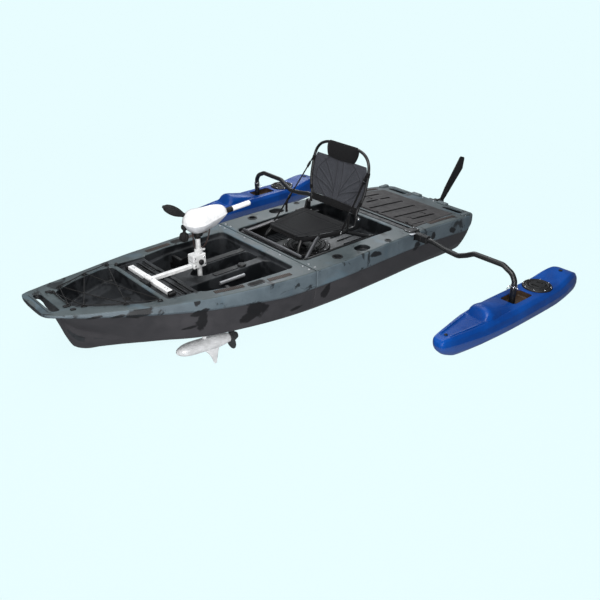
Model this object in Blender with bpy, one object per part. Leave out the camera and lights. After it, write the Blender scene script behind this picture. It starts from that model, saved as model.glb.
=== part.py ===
"""Two-section fishing kayak with outriggers, a framed seat, a rudder and an electric motor.

Metres, +Z up, +X aft, +Y starboard. The origin lies on the centreline, amidships, at the waterline.
Stations are given as distances aft of the bow tip, and heights as heights above the keel.
"""
import math

import bmesh
import bpy
from mathutils import Matrix, Vector

# Main dimensions
LENGTH = 3.05                    # hull, bow tip to transom
DRAFT = 0.10                     # keel to waterline
GAP = 0.0003                     # running gap between pieces that touch
JOINT_X = 1.475                  # where bow and stern sections butt
SHEER, BOW_RISE, STERN_DROP = 0.355, 0.095, 0.072    # gunwale amidships, and what its ends rise or fall

# Bow section
WELL_FRONT, WELL_REAR, WELL_FLOOR = 0.166, 0.579, 0.310
RIDGE_FRONT, RIDGE_REAR, RIDGE_TOP = 0.60, 0.80, 0.367
FOOT_FRONT, FOOT_REAR, FOOT_FLOOR = 0.80, 1.405, 0.14
FOOT_DECK, FOOT_INNER, FOOT_OUTER = 0.325, 0.118, 0.345
TUBE_R = 0.0110                  # grey tube on the port footwell's inner wall
SLOT_TIP, SLOT_FRONT, SLOT_REAR, SLOT_HALF = 0.93, 0.987, 1.385, 0.062

# Stern section
COCKPIT_FRONT, COCKPIT_REAR, COCKPIT_HALF, COCKPIT_FLOOR = 1.49, 2.300, 0.335, 0.25
HATCH_X, HATCH_R = 1.818, 0.155
GROOVE_HALF, GROOVE_FLOOR = 0.033, 0.300
PANEL_FRONT, PANEL_REAR = 2.412, 2.885
PANEL_HALF_FRONT, PANEL_HALF_REAR, PANEL_THICK = 0.390, 0.328, 0.014
HOLDER_X, TRAY_X, TRAY_R, GUNWALE_Y = 1.70, 1.907, 0.050, 0.415
RAIL_INNER, RAIL_TOP = 0.292, 0.322

# Motor
SHAFT_X, SHAFT_R = 0.995, 0.0145
MOTOR_TURN = math.radians(-8.4)  # the motor stands steered a little
BRACKET_LOW, BRACKET_HIGH, COLLAR_TOP = 0.366, 0.447, 0.474
NECK_LOW, HEAD_LOW, HEAD_RIM = 0.538, 0.580, 0.632
HEAD_FRONT_R, HEAD_TAIL_R, HEAD_TAIL = 0.080, 0.030, 0.160
TORPEDO_Z, TORPEDO_R = -0.165, 0.043
TORPEDO_NOSE, TORPEDO_END = 0.805, 1.160
PROP_R = 0.105

# Seat
PAN_Z, PAN_FRONT, PAN_REAR = 0.410, 1.642, 1.995
PAN_HALF_FRONT, PAN_HALF_REAR = 0.150, 0.245
FOOT_TUBE_X, FOOT_TUBE_HALF = 1.522, 0.298
BACK_X, BACK_Z = 2.045, 0.450
STRAP_PORT_X = 1.895
LUG_INNER, FOLD_PIN = 0.229, 0.006
BACK_LEAN = math.radians(12)
SHEET = 0.010                    # fabric and its binding
SEAT_TUBE = 0.0125

# Outriggers
ARM_X, ARM_Y, ARM_R = 2.360, 1.216, 0.0160
ARM_SOCKET, ARM_DIP, ARM_HIGH = 0.560, 0.297, 0.350
BAR_HALF = 0.0225
FLOAT_FRONT, FLOAT_REAR, FLOAT_HALF, FLOAT_DECK = 1.688, 3.012, 0.118, 0.160
LEG_FLOOR, LEG_TOP = 0.124, 0.250
LID_X, LID_R = 2.615, 0.090

# Rudder
RUDDER_X, RUDDER_PIVOT_X, RUDDER_Z = 3.100, 3.160, 0.240
RUDDER_RISE = math.radians(54)

WHITE = (0.86, 0.87, 0.88)
BLACK = (0.018, 0.019, 0.021)
GREY = (0.10, 0.115, 0.125)
BLUE = (0.004, 0.045, 0.42)

COLLECTION = "fishing_kayak"
CUTTERS = "cutters"


def place(x, y, z):
    """World point from a distance aft of the bow tip, a width and a height above the keel."""
    return Vector((x - LENGTH / 2, y, z - DRAFT))


def clear_scene():
    for obj in list(bpy.data.objects):
        bpy.data.objects.remove(obj, do_unlink=True)
    for name in (COLLECTION, CUTTERS):
        group = bpy.data.collections.new(name)
        bpy.context.scene.collection.children.link(group)


def material(name, colour, roughness, metallic=0.0):
    mat = bpy.data.materials.get(name) or bpy.data.materials.new(name)
    mat.use_nodes = True
    shader = mat.node_tree.nodes["Principled BSDF"]
    shader.inputs["Base Color"].default_value = (*colour, 1)
    shader.inputs["Roughness"].default_value = roughness
    shader.inputs["Metallic"].default_value = metallic
    return mat


def add_object(name, mesh, mat=None, group=COLLECTION):
    obj = bpy.data.objects.new(name, mesh)
    bpy.data.collections[group].objects.link(obj)
    if mat:
        mesh.materials.clear()
        mesh.materials.append(mat)
    if group == CUTTERS:
        obj.hide_render = True
        obj.display_type = "WIRE"
    return obj


def mesh_from(bm, name, smooth_angle=40):
    bmesh.ops.recalc_face_normals(bm, faces=bm.faces)
    mesh = bpy.data.meshes.new(name)
    bm.to_mesh(mesh)
    bm.free()
    mesh.shade_smooth()
    mesh.set_sharp_from_angle(angle=math.radians(smooth_angle))
    return mesh


def box(name, low, high, mat=None, bevel=0.0, segments=2, group=COLLECTION):
    """Box between two corners given as (x, y, z) stations."""
    low, high = place(*low), place(*high)
    size = high - low
    bm = bmesh.new()
    bmesh.ops.create_cube(bm, size=1.0)
    bmesh.ops.scale(bm, vec=size, verts=bm.verts)
    if bevel:
        bmesh.ops.bevel(bm, geom=list(bm.edges), offset=bevel, segments=segments, profile=0.5,
                        affect="EDGES", clamp_overlap=True)
    bmesh.ops.translate(bm, vec=(low + high) / 2, verts=bm.verts)
    return add_object(name, mesh_from(bm, name), mat, group)


def rod(name, start, end, radius, mat=None, sides=20, radius_end=None, bevel=0.0, group=COLLECTION):
    """Round bar between two world points."""
    start, end = Vector(start), Vector(end)
    run = end - start
    bm = bmesh.new()
    bmesh.ops.create_cone(bm, cap_ends=True, segments=sides, radius1=radius,
                          radius2=radius if radius_end is None else radius_end, depth=run.length)
    if bevel:
        rims = [e for e in bm.edges if abs(e.verts[0].co.z - e.verts[1].co.z) < 1e-6]
        bmesh.ops.bevel(bm, geom=rims, offset=bevel, segments=2, profile=0.5, affect="EDGES")
    matrix = Matrix.Translation((start + end) / 2) @ run.to_track_quat("Z", "Y").to_matrix().to_4x4()
    bmesh.ops.transform(bm, matrix=matrix, verts=bm.verts)
    return add_object(name, mesh_from(bm, name), mat, group)


def round_off(points, radius, steps=4):
    """Fillet the corners of a closed outline of (x, y) points with arcs."""
    result = []
    count = len(points)
    for i, corner in enumerate(points):
        here = Vector(corner[:2])
        back = (Vector(points[i - 1][:2]) - here)
        ahead = (Vector(points[(i + 1) % count][:2]) - here)
        wanted = corner[2] if len(corner) > 2 else radius
        half = back.angle(ahead) / 2
        run = min(wanted / math.tan(half), back.length * 0.49, ahead.length * 0.49)
        r = run * math.tan(half)
        if r < 1e-5:
            result.append(here)
            continue
        first, last = here + back.normalized() * run, here + ahead.normalized() * run
        centre = here + (back.normalized() + ahead.normalized()).normalized() * (r / math.sin(half))
        a, b = first - centre, last - centre
        for k in range(steps + 1):
            mixed = a.lerp(b, k / steps)
            result.append(centre + mixed.normalized() * r)
    return result


def smooth_path(points, per_span=6):
    """Points on a smooth curve through the given world points (centripetal feel, Catmull-Rom)."""
    pts = [Vector(p) for p in points]
    ends = [pts[0] * 2 - pts[1]] + pts + [pts[-1] * 2 - pts[-2]]
    result = []
    for i in range(1, len(ends) - 2):
        a, b, c, d = ends[i - 1:i + 3]
        for k in range(per_span):
            t = k / per_span
            result.append(0.5 * ((2 * b) + (c - a) * t + (2 * a - 5 * b + 4 * c - d) * t * t
                                 + (3 * b - a - 3 * c + d) * t * t * t))
    result.append(pts[-1])
    return result


def bent_path(points, radius, steps=4):
    """World points of a straight run with its corners bent to a radius."""
    pts = [Vector(p) for p in points]
    result = [pts[0]]
    for before, here, after in zip(pts, pts[1:], pts[2:]):
        back, ahead = before - here, after - here
        half = back.angle(ahead) / 2
        run = min(radius / math.tan(half), back.length * 0.49, ahead.length * 0.49)
        r = run * math.tan(half)
        centre = here + (back.normalized() + ahead.normalized()).normalized() * (r / math.sin(half))
        a = here + back.normalized() * run - centre
        b = here + ahead.normalized() * run - centre
        for k in range(steps + 1):
            result.append(centre + a.lerp(b, k / steps).normalized() * r)
    result.append(pts[-1])
    return result


def tube(name, points, radius, mat=None, closed=False, resolution=2, group=COLLECTION):
    """Bent tube along world points, made a mesh with its caps welded."""
    curve = bpy.data.curves.new(name, "CURVE")
    curve.dimensions = "3D"
    spline = curve.splines.new("POLY")
    spline.points.add(len(points) - 1)
    for slot, point in zip(spline.points, points):
        slot.co = (*point, 1)
    spline.use_cyclic_u = closed
    curve.bevel_depth = radius
    curve.bevel_resolution = resolution
    curve.use_fill_caps = not closed
    return curve_to_mesh(name, curve, mat, group)


def curve_to_mesh(name, curve, mat, group):
    guide = bpy.data.objects.new(name + "_curve", curve)
    bpy.context.scene.collection.objects.link(guide)
    graph = bpy.context.evaluated_depsgraph_get()
    mesh = bpy.data.meshes.new_from_object(guide.evaluated_get(graph))
    bpy.data.objects.remove(guide, do_unlink=True)
    bm = bmesh.new()
    bm.from_mesh(mesh)
    bmesh.ops.remove_doubles(bm, verts=bm.verts, dist=0.00005)
    bpy.data.meshes.remove(mesh)
    return add_object(name, mesh_from(bm, name), mat, group)


def slab(name, outline, low, high, mat=None, bevel=0.0, shrink=0.0, group=COLLECTION, holes=()):
    """Flat outline of (x, y) stations between two heights. shrink draws the lower rim inwards."""
    bm = bmesh.new()
    count = len(outline)
    middle = sum((Vector(p[:2]) for p in outline), Vector((0, 0))) / count
    rims = []
    for z, drawn in ((low, shrink), (high, 0.0)):
        ring = []
        for p in outline:
            p = Vector(p[:2])
            p = p - (p - middle).normalized() * drawn
            ring.append(bm.verts.new(place(p.x, p.y, z)))
        rims.append(ring)
    bm.faces.new(rims[0][::-1])
    top = bm.faces.new(rims[1])
    for i in range(count):
        j = (i + 1) % count
        bm.faces.new((rims[0][i], rims[0][j], rims[1][j], rims[1][i]))
    if bevel:
        bmesh.ops.bevel(bm, geom=list(top.edges), offset=bevel, segments=2, profile=0.5, affect="EDGES")
    return add_object(name, mesh_from(bm, name, 30), mat, group)


def loft(name, rings, mat=None, group=COLLECTION, smooth_angle=35):
    """Skin over closed rings of world points, with flat ends."""
    bm = bmesh.new()
    rows = [[bm.verts.new(p) for p in ring] for ring in rings]
    for a, b in zip(rows, rows[1:]):
        count = len(a)
        for i in range(count):
            j = (i + 1) % count
            bm.faces.new((a[i], a[j], b[j], b[i]))
    bm.faces.new(rows[0][::-1])
    bm.faces.new(rows[-1])
    return add_object(name, mesh_from(bm, name, smooth_angle), mat, group)


def turned(name, profile, origin, axis, mat=None, steps=24, group=COLLECTION):
    """Turned piece: (radius, distance along the axis) points, first and last on the axis."""
    bm = bmesh.new()
    verts = [bm.verts.new((r, 0, h)) for r, h in profile]
    for a, b in zip(verts, verts[1:]):
        bm.edges.new((a, b))
    bmesh.ops.spin(bm, geom=bm.verts[:] + bm.edges[:], axis=(0, 0, 1), cent=(0, 0, 0),
                   steps=steps, angle=math.tau, use_duplicate=False)
    bmesh.ops.remove_doubles(bm, verts=bm.verts, dist=0.00002)
    matrix = Matrix.Translation(origin) @ Vector(axis).to_track_quat("Z", "Y").to_matrix().to_4x4()
    bmesh.ops.transform(bm, matrix=matrix, verts=bm.verts)
    return add_object(name, mesh_from(bm, name), mat, group)


def cut(target, *cutters):
    boolean(target, "DIFFERENCE", cutters)


def fuse(target, *others):
    boolean(target, "UNION", others)


def boolean(target, operation, others):
    """Boolean modifiers, applied at once so that the helper objects can go."""
    for other in others:
        step = target.modifiers.new(operation.lower(), "BOOLEAN")
        step.operation = operation
        step.solver = "EXACT"
        step.object = other
    graph = bpy.context.evaluated_depsgraph_get()
    mesh = bpy.data.meshes.new_from_object(target.evaluated_get(graph))
    target.modifiers.clear()
    old = target.data
    target.data = mesh
    bpy.data.meshes.remove(old)
    for other in others:
        bpy.data.objects.remove(other, do_unlink=True)


def seat_on(carrier, *pieces):
    """Trim pieces so that they meet their carrier's skin with the running gap."""
    for piece in pieces:
        bm = bmesh.new()
        bm.from_mesh(carrier.data)
        bm.normal_update()
        offsets = [(v, v.normal * GAP * 1.5) for v in bm.verts]
        for vert, offset in offsets:
            vert.co += offset
        mat = bpy.data.materials[piece.data.materials[0].name]
        cut(piece, add_object("skin", mesh_from(bm, "skin"), None, CUTTERS))
        piece.data.materials.clear()
        piece.data.materials.append(mat)


def pivot(name, point, *children):
    """Empty on a joint's axis that carries the moving pieces."""
    empty = bpy.data.objects.new(name, None)
    empty.location = point
    empty.empty_display_size = 0.05
    bpy.data.collections[COLLECTION].objects.link(empty)
    for child in children:
        child.parent = empty
        child.matrix_parent_inverse = Matrix.Translation(-Vector(point))
    return empty


# Hull

# station, half width, chine half width, chine height, keel height
SECTIONS = [
    (0.000, 0.118, 0.085, 0.424, 0.420),
    (0.012, 0.150, 0.105, 0.421, 0.414),
    (0.040, 0.171, 0.112, 0.416, 0.404),
    (0.085, 0.190, 0.100, 0.404, 0.388),
    (0.118, 0.203, 0.062, 0.352, 0.312),
    (0.143, 0.213, 0.058, 0.315, 0.227),
    (0.176, 0.226, 0.064, 0.285, 0.151),
    (0.211, 0.238, 0.074, 0.262, 0.121),
    (0.262, 0.254, 0.092, 0.238, 0.098),
    (0.341, 0.280, 0.132, 0.208, 0.083),
    (0.438, 0.311, 0.186, 0.182, 0.073),
    (0.545, 0.344, 0.246, 0.164, 0.060),
    (0.750, 0.398, 0.330, 0.130, 0.036),
    (0.930, 0.428, 0.375, 0.113, 0.020),
    (1.200, 0.466, 0.412, 0.093, 0.006),
    (1.430, 0.484, 0.430, 0.083, 0.000),
    (1.600, 0.488, 0.436, 0.080, 0.000),
    (1.750, 0.490, 0.440, 0.080, 0.000),
    (2.100, 0.477, 0.430, 0.078, 0.000),
    (2.450, 0.456, 0.410, 0.072, 0.004),
    (2.750, 0.438, 0.392, 0.054, 0.014),
    (2.900, 0.425, 0.380, 0.052, 0.030),
    (2.970, 0.414, 0.372, 0.085, 0.068),
    (3.010, 0.404, 0.366, 0.130, 0.115),
    (3.035, 0.390, 0.352, 0.180, 0.168),
    (3.050, 0.366, 0.330, 0.215, 0.207),
]


def sheer_at(x):
    """Gunwale height: it rises to the bow and falls to the stern."""
    if x < 1.6:
        return SHEER + BOW_RISE * (1 - x / 1.6) ** 2
    if x > 2.0:
        return SHEER - STERN_DROP * ((x - 2.0) / 1.05) ** 2
    return SHEER


def band_at(x, top, chine_z):
    """Height of the upright band under the gunwale; it narrows to the bow and the stern."""
    return min(0.012 + 0.078 * x, 0.110, 0.5 * (top - chine_z))


def mix(a, b, t):
    return a + (b - a) * t


def section_at(x):
    """Half width, chine and keel at any station, straight between the listed ones."""
    for low, high in zip(SECTIONS, SECTIONS[1:]):
        if x <= high[0] + 1e-9:
            t = (x - low[0]) / (high[0] - low[0])
            return [mix(a, b, t) for a, b in zip(low[1:], high[1:])]
    return list(SECTIONS[-1][1:])


def hull_ring(x):
    """Closed section: keel, bottom, chine, side, knuckle, gunwale band and flat top."""
    half, chine_y, chine_z, keel = section_at(x)
    top = sheer_at(x)
    band = band_at(x, top, chine_z)
    lip = min(0.012, 0.2 * band)
    side = [
        (chine_y * 0.55, mix(keel, chine_z, 0.30)),
        (chine_y * 0.86, mix(keel, chine_z, 0.72)),
        (chine_y, chine_z + 0.2 * lip),
        (mix(chine_y, half, 0.55), mix(chine_z, top - band, 0.5)),
        (half - 0.010, top - band),
        (half, top - band + lip),
        (half, top - lip),
        (half - 0.010, top),
    ]
    right = [place(x, y, z) for y, z in side]
    left = [place(x, -y, z) for y, z in reversed(side)]
    return [place(x, 0, keel)] + right + [place(x, 0, top)] + left


def hull_section(name, front, rear, mat):
    listed = [s[0] for s in SECTIONS]
    between = [(a + b) / 2 for a, b in zip(listed, listed[1:]) if b - a > 0.12]
    stations = sorted(x for x in {front, rear, ARM_X, *listed, *between} if front <= x <= rear)
    return loft(name, [hull_ring(x) for x in stations], mat)


def mirrored(points):
    """Outline from its starboard half, front to rear, mirrored to port."""
    return [*points, *[(p[0], -p[1], *p[2:]) for p in reversed(points)]]


def footwell_outline(side, draw=0.0):
    corners = [
        (FOOT_FRONT + draw, FOOT_INNER + draw),
        (FOOT_REAR - draw, FOOT_INNER + draw),
        (FOOT_REAR - draw, FOOT_OUTER - draw),
        (0.98, FOOT_OUTER - draw - 0.008),
        (FOOT_FRONT + draw, 0.285 - draw),
    ]
    return round_off([(x, y * side) for x, y in corners], 0.04)


def bow_section(mat):
    hull = hull_section("hull_bow", 0.0, JOINT_X - GAP, mat)
    high = 0.60
    well = round_off(mirrored([(WELL_FRONT, 0.105, 0.05), (0.32, 0.195, 0.3), (0.50, 0.262, 0.1),
                               (WELL_REAR, 0.262, 0.03)]), 0.03)
    slot = round_off(mirrored([(SLOT_TIP, 0.012), (SLOT_FRONT, SLOT_HALF), (SLOT_REAR, SLOT_HALF)]), 0.02)
    handle = round_off(mirrored([(0.045, 0.125), (0.100, 0.125)]), 0.02)
    foot_deck = round_off(mirrored([(FOOT_FRONT, 0.31), (0.98, FOOT_OUTER + 0.005),
                                    (FOOT_REAR + 0.01, FOOT_OUTER + 0.012)]), 0.03)
    ridge = round_off(mirrored([(RIDGE_FRONT, 0.285), (RIDGE_REAR + 0.03, 0.30)]), 0.02)
    tools = [
        slab("well", well, WELL_FLOOR, high, shrink=0.012, group=CUTTERS),
        slab("ridge", ridge, RIDGE_TOP, high, group=CUTTERS),
        slab("foot_deck", foot_deck, FOOT_DECK, high, group=CUTTERS),
        slab("slot", slot, -0.2, high, group=CUTTERS),
        slab("handle", handle, 0.1, high, group=CUTTERS),
    ]
    for side in (-1, 1):
        tools.append(slab("footwell", footwell_outline(side), FOOT_FLOOR, high, shrink=0.014,
                          group=CUTTERS))
    for x in (0.735, 0.775):
        tools.append(box("groove", (x - 0.008, -0.262, RIDGE_TOP - 0.010), (x + 0.008, 0.262, high),
                         group=CUTTERS))
    cut(hull, *tools)
    return hull


def stern_section(mat):
    hull = hull_section("hull_stern", JOINT_X, LENGTH, mat)
    high = 0.60
    cockpit = round_off(mirrored([(COCKPIT_FRONT, COCKPIT_HALF), (COCKPIT_REAR, COCKPIT_HALF)]), 0.05)
    tools = [
        slab("cockpit", cockpit, COCKPIT_FLOOR, high, shrink=0.012, group=CUTTERS),
        box("crossbar_groove", (ARM_X - GROOVE_HALF, -0.6, GROOVE_FLOOR),
            (ARM_X + GROOVE_HALF, 0.6, high), group=CUTTERS),
        panel_slab("panel_recess", GAP, 0.1, None, CUTTERS),
    ]
    for side in (-1, 1):
        tools.append(rod("rod_holder", place(HOLDER_X, side * GUNWALE_Y, SHEER - 0.15),
                         place(HOLDER_X, side * GUNWALE_Y, high), 0.0235, group=CUTTERS))
        tools.append(rod("round_tray", place(TRAY_X, side * GUNWALE_Y, SHEER - 0.030),
                         place(TRAY_X, side * GUNWALE_Y, high), TRAY_R, sides=32, group=CUTTERS))
        low_y, high_y = sorted((side * 0.180, side * 0.345))
        tools.append(box("transom_slot", (2.940, low_y, 0.2), (2.987, high_y, high), bevel=0.018,
                         segments=3, group=CUTTERS))
        tools.append(box("transom_undercut", (2.925, low_y - 0.01, -0.2),
                         (LENGTH + 0.1, high_y + 0.01, 0.250), group=CUTTERS))
    cut(hull, *tools)
    return hull


def lie_on_deck(piece, x, z):
    """Turn a piece about a crosswise line so that it follows the deck's slope there."""
    slope = math.atan2(sheer_at(x - 0.05) - sheer_at(x + 0.05), 0.1)
    axis = place(x, 0, z)
    piece.data.transform(Matrix.Translation(axis) @ Matrix.Rotation(slope, 4, "Y")
                         @ Matrix.Translation(-axis))


def panel_slab(name, grow, rise, mat, group=COLLECTION):
    """The rear panel lies flush in the deck and narrows to the stern."""
    top = (sheer_at(PANEL_FRONT) + sheer_at(PANEL_REAR)) / 2 + 0.001
    outline = mirrored([(PANEL_FRONT - grow, PANEL_HALF_FRONT + grow),
                        (PANEL_REAR + grow, PANEL_HALF_REAR + grow)])
    panel = slab(name, outline, top - PANEL_THICK - grow, top + rise, mat, group=group)
    lie_on_deck(panel, (PANEL_FRONT + PANEL_REAR) / 2, top)
    return panel


def round_hatch(name, x, y, base, radius, height, mat):
    """Raised threaded ring with a lid sunk in it."""
    ring = turned(name + "_ring", [(0, 0), (radius, 0), (radius, height * 0.6), (radius - 0.006, height),
                                   (radius * 0.84, height), (radius * 0.82, height * 0.55),
                                   (0, height * 0.55)], place(x, y, base), (0, 0, 1), mat, 40)
    lid = turned(name + "_lid", [(0, height * 0.55 + GAP), (radius * 0.80, height * 0.55 + GAP),
                                 (radius * 0.80, height * 0.95), (radius * 0.76, height * 1.15),
                                 (0, height * 1.15)], place(x, y, base), (0, 0, 1), mat, 40)
    return ring, lid


def deck_fittings(bow, stern, black, grey, brown):
    """What is fastened on the deck and never moves."""
    round_hatch("floor_hatch", HATCH_X, 0, COCKPIT_FLOOR + GAP, HATCH_R, 0.016, black)
    panel_slab("rear_panel", -GAP, 0.0, brown)
    for word, side in (("port", -1), ("starboard", 1)):
        low_y, high_y = sorted((side * RAIL_INNER, side * (COCKPIT_HALF + 0.002)))
        rail = box("seat_rail_" + word, (COCKPIT_FRONT + 0.010, low_y, COCKPIT_FLOOR - 0.002),
                   (2.20, high_y, RAIL_TOP), black, 0.004)
        seat_on(stern, rail)
        foot_brace("foot_brace_" + word, side, bow, black)
    wall = -FOOT_INNER - TUBE_R - 0.0045
    tube("storage_tube", [place(1.040, wall, 0.285), place(1.215, wall, 0.285)], TUBE_R, grey)
    turned("round_cap", [(0, 0), (0.026, 0), (0.026, 0.006), (0.021, 0.012), (0, 0.013)],
           place(1.230, -0.090, FOOT_DECK + GAP), (0, 0, 1), black, 24)


def foot_brace(name, side, bow, black):
    """Track on the footwell's outer wall with a foot rest standing out of it."""
    low_y, high_y = sorted((side * 0.312, side * (FOOT_OUTER + 0.004)))
    track = box(name, (0.995, low_y, 0.235), (1.250, high_y, 0.275), black)
    low_y, high_y = sorted((side * 0.228, side * 0.322))
    fuse(track, box("pedal", (1.003, low_y, 0.222), (1.025, high_y, 0.318), None, 0.004, group=CUTTERS))
    seat_on(bow, track)


def motor_frame(white):
    """White T frame: cross bar on the ridge, long bar aft to the shaft bracket."""
    bar_low, bar_high = RIDGE_TOP + GAP, RIDGE_TOP + 0.024
    bracket_front = SHAFT_X - 0.057
    box("frame_cross_bar", (0.650, -0.213, bar_low), (0.686, 0.213, bar_high), white, 0.004)
    box("frame_long_bar", (0.686 + GAP, -0.014, bar_low), (bracket_front - GAP, 0.014, bar_high), white,
        0.004)
    bracket = box("shaft_bracket", (bracket_front, -0.030, BRACKET_LOW),
                  (SHAFT_X + 0.030, 0.030, BRACKET_HIGH), white, 0.006)
    cut(bracket, rod("bracket_bore", place(SHAFT_X, 0, 0.2), place(SHAFT_X, 0, 0.6), 0.0195, sides=32,
                     group=CUTTERS))


def motor(white, black):
    """Everything that turns and slides with the shaft, and the collar that it slides in."""
    collar = rod("steer_collar", place(SHAFT_X, 0, BRACKET_HIGH + GAP), place(SHAFT_X, 0, COLLAR_TOP),
                 0.0235, None, sides=32, bevel=0.003)
    screw = rod("thumb_screw", place(SHAFT_X + 0.018, 0, 0.461), place(SHAFT_X + 0.040, 0, 0.461), 0.006,
                sides=12, group=CUTTERS)
    sleeve = rod("collar_sleeve", place(SHAFT_X, 0, BRACKET_LOW + 0.010), place(SHAFT_X, 0, 0.455), 0.0190,
                 sides=32, group=CUTTERS)
    fuse(collar, screw, sleeve)
    cut(collar, rod("collar_bore", place(SHAFT_X, 0, 0.2), place(SHAFT_X, 0, 0.6), SHAFT_R + GAP, sides=32,
                    group=CUTTERS))
    collar.data.materials.clear()
    collar.data.materials.append(white)
    shaft = rod("motor_shaft", place(SHAFT_X, 0, TORPEDO_Z + TORPEDO_R + GAP),
                place(SHAFT_X, 0, NECK_LOW - GAP), SHAFT_R, white, sides=32)
    neck = turned("head_neck", [(0, 0), (0.018, 0), (0.019, 0.012), (0.031, 0.018),
                                (0.033, HEAD_LOW - GAP - NECK_LOW), (0, HEAD_LOW - GAP - NECK_LOW)],
                  place(SHAFT_X, 0, NECK_LOW), (0, 0, 1), black, 28)
    head = motor_head(white)
    knob = turned("tilt_knob", [(0, 0), (0.020, 0), (0.019, 0.018), (0.008, 0.032), (0.009, 0.040),
                                (0.024, 0.050), (0.027, 0.072), (0.022, 0.090), (0, 0.094)],
                  place(SHAFT_X - 0.073, 0.002, 0.628), (-0.12, 0, -1), black, 18)
    grip = turned("tiller_grip", [(0, 0), (0.012, 0), (0.013, 0.030), (0.021, 0.042), (0.026, 0.070),
                                  (0.027, 0.105), (0.022, 0.130), (0.012, 0.143), (0, 0.145)],
                  place(SHAFT_X - 0.052, 0.024, 0.674), (-0.833, 0.160, 0.50), black, 20)
    bar_axis = Vector((math.cos(math.radians(7)), 0, math.sin(math.radians(7))))
    start = place(SHAFT_X + 0.176, 0, 0.663)
    clip = rod("bar_collar", start, start + bar_axis * 0.052, 0.016, black, sides=20, bevel=0.003)
    seat_on(head, knob, grip, clip)
    bar = turned("rear_bar", [(0, 0), (0.0150, 0), (0.0150, 0.108), (0.011, 0.118), (0, 0.122)],
                 start + bar_axis * (0.052 + GAP), bar_axis, white, 20)
    torpedo = turned("torpedo", [(0, 0), (0.014, 0.004), (0.028, 0.020), (0.037, 0.050),
                                 (TORPEDO_R, 0.100), (TORPEDO_R, 0.240), (0.040, 0.290), (0.035, 0.330),
                                 (0.028, TORPEDO_END - TORPEDO_NOSE), (0, TORPEDO_END - TORPEDO_NOSE)],
                     place(TORPEDO_NOSE, 0, TORPEDO_Z), (1, 0, 0), white, 28)
    fuse(torpedo, skeg())
    torpedo.data.materials.clear()
    torpedo.data.materials.append(white)
    leads = power_leads(black)
    seat_on(head, leads)
    prop = propeller(black)
    axis = place(SHAFT_X, 0, 0)
    turn = Matrix.Translation(axis) @ Matrix.Rotation(MOTOR_TURN, 4, "Z") @ Matrix.Translation(-axis)
    carried = (shaft, neck, head, knob, grip, clip, bar, torpedo, leads)
    for piece in (collar, prop, *carried):
        piece.data.transform(turn)
    pivot("steering_axis", place(SHAFT_X, 0, COLLAR_TOP), collar)
    pivot("motor_axis", place(SHAFT_X, 0, COLLAR_TOP), *carried)
    pivot("propeller_axis", turn @ place(TORPEDO_END, 0, TORPEDO_Z), prop)


def teardrop(scale, tail):
    """Outline of the head from above, (x, y) off the shaft: round in front, drawn out to the rear."""
    front, rear = HEAD_FRONT_R * scale, HEAD_TAIL_R * scale
    lean = math.asin((front - rear) / tail)
    points = []
    for radius, centre, first, last, steps in ((front, 0.0, math.pi / 2 - lean, math.tau * 0.75 + lean, 12),
                                               (rear, tail, -math.pi / 2 + lean, math.pi / 2 - lean, 6)):
        for k in range(steps + 1):
            a = mix(first, last, k / steps)
            points.append((centre + radius * math.cos(a), radius * math.sin(a)))
    return points


def motor_head(white):
    """Domed housing over a shallow tray; its tail rises a little to the rear."""
    rings = []
    # height, width against the rim, distance to the tail's centre
    for z, scale, tail in ((HEAD_LOW, 0.46, 0.060), (0.588, 0.62, 0.090), (0.610, 0.88, 0.135),
                           (HEAD_RIM, 1.0, HEAD_TAIL), (0.642, 1.0, HEAD_TAIL), (0.664, 0.94, 0.155),
                           (0.686, 0.78, 0.138), (0.700, 0.56, 0.105), (0.708, 0.28, 0.060)):
        ring = []
        for u, v in teardrop(scale, tail):
            rise = 0.125 * max(0.0, u - 0.02) * min(1.0, (z - HEAD_LOW) / 0.03)
            ring.append(place(SHAFT_X + u, v, z + rise))
        rings.append(ring)
    return loft("motor_head", rings, white)


def skeg():
    outline = [(SHAFT_X - 0.020, TORPEDO_Z - 0.030), (SHAFT_X + 0.090, TORPEDO_Z - 0.030),
               (SHAFT_X + 0.080, TORPEDO_Z - 0.100), (SHAFT_X + 0.071, TORPEDO_Z - 0.155),
               (SHAFT_X + 0.055, TORPEDO_Z - 0.153)]
    bm = bmesh.new()
    rims = []
    for y in (-0.004, 0.004):
        rims.append([bm.verts.new(place(x, y, z)) for x, z in outline])
    bm.faces.new(rims[0])
    bm.faces.new(rims[1][::-1])
    for i in range(len(outline)):
        j = (i + 1) % len(outline)
        bm.faces.new((rims[0][i], rims[1][i], rims[1][j], rims[0][j]))
    return add_object("skeg", mesh_from(bm, "skeg"), None, CUTTERS)


def power_leads(black):
    """One loop of lead: down from the head, round the shaft on the collar, and up to the head again."""
    radius = 0.0040
    round_shaft, height = SHAFT_R + radius + 0.0022, COLLAR_TOP + radius + 0.0018
    route = [(0.062, -0.030, 0.612), (0.058, -0.034, 0.570), (0.042, -0.031, 0.522), (0.027, -0.019, 0.488)]
    for degrees in (-12, 30, 70, 110, 150, 190):
        a = math.radians(degrees)
        route.append((round_shaft * math.cos(a), round_shaft * math.sin(a), height))
    route += [(-0.029, -0.014, 0.496), (-0.038, -0.026, 0.536), (-0.042, -0.033, 0.570),
              (-0.042, -0.033, 0.612)]
    points = smooth_path([place(SHAFT_X + x, y, z) for x, y, z in route], 3)
    return tube("power_leads", points, radius, black)


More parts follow.
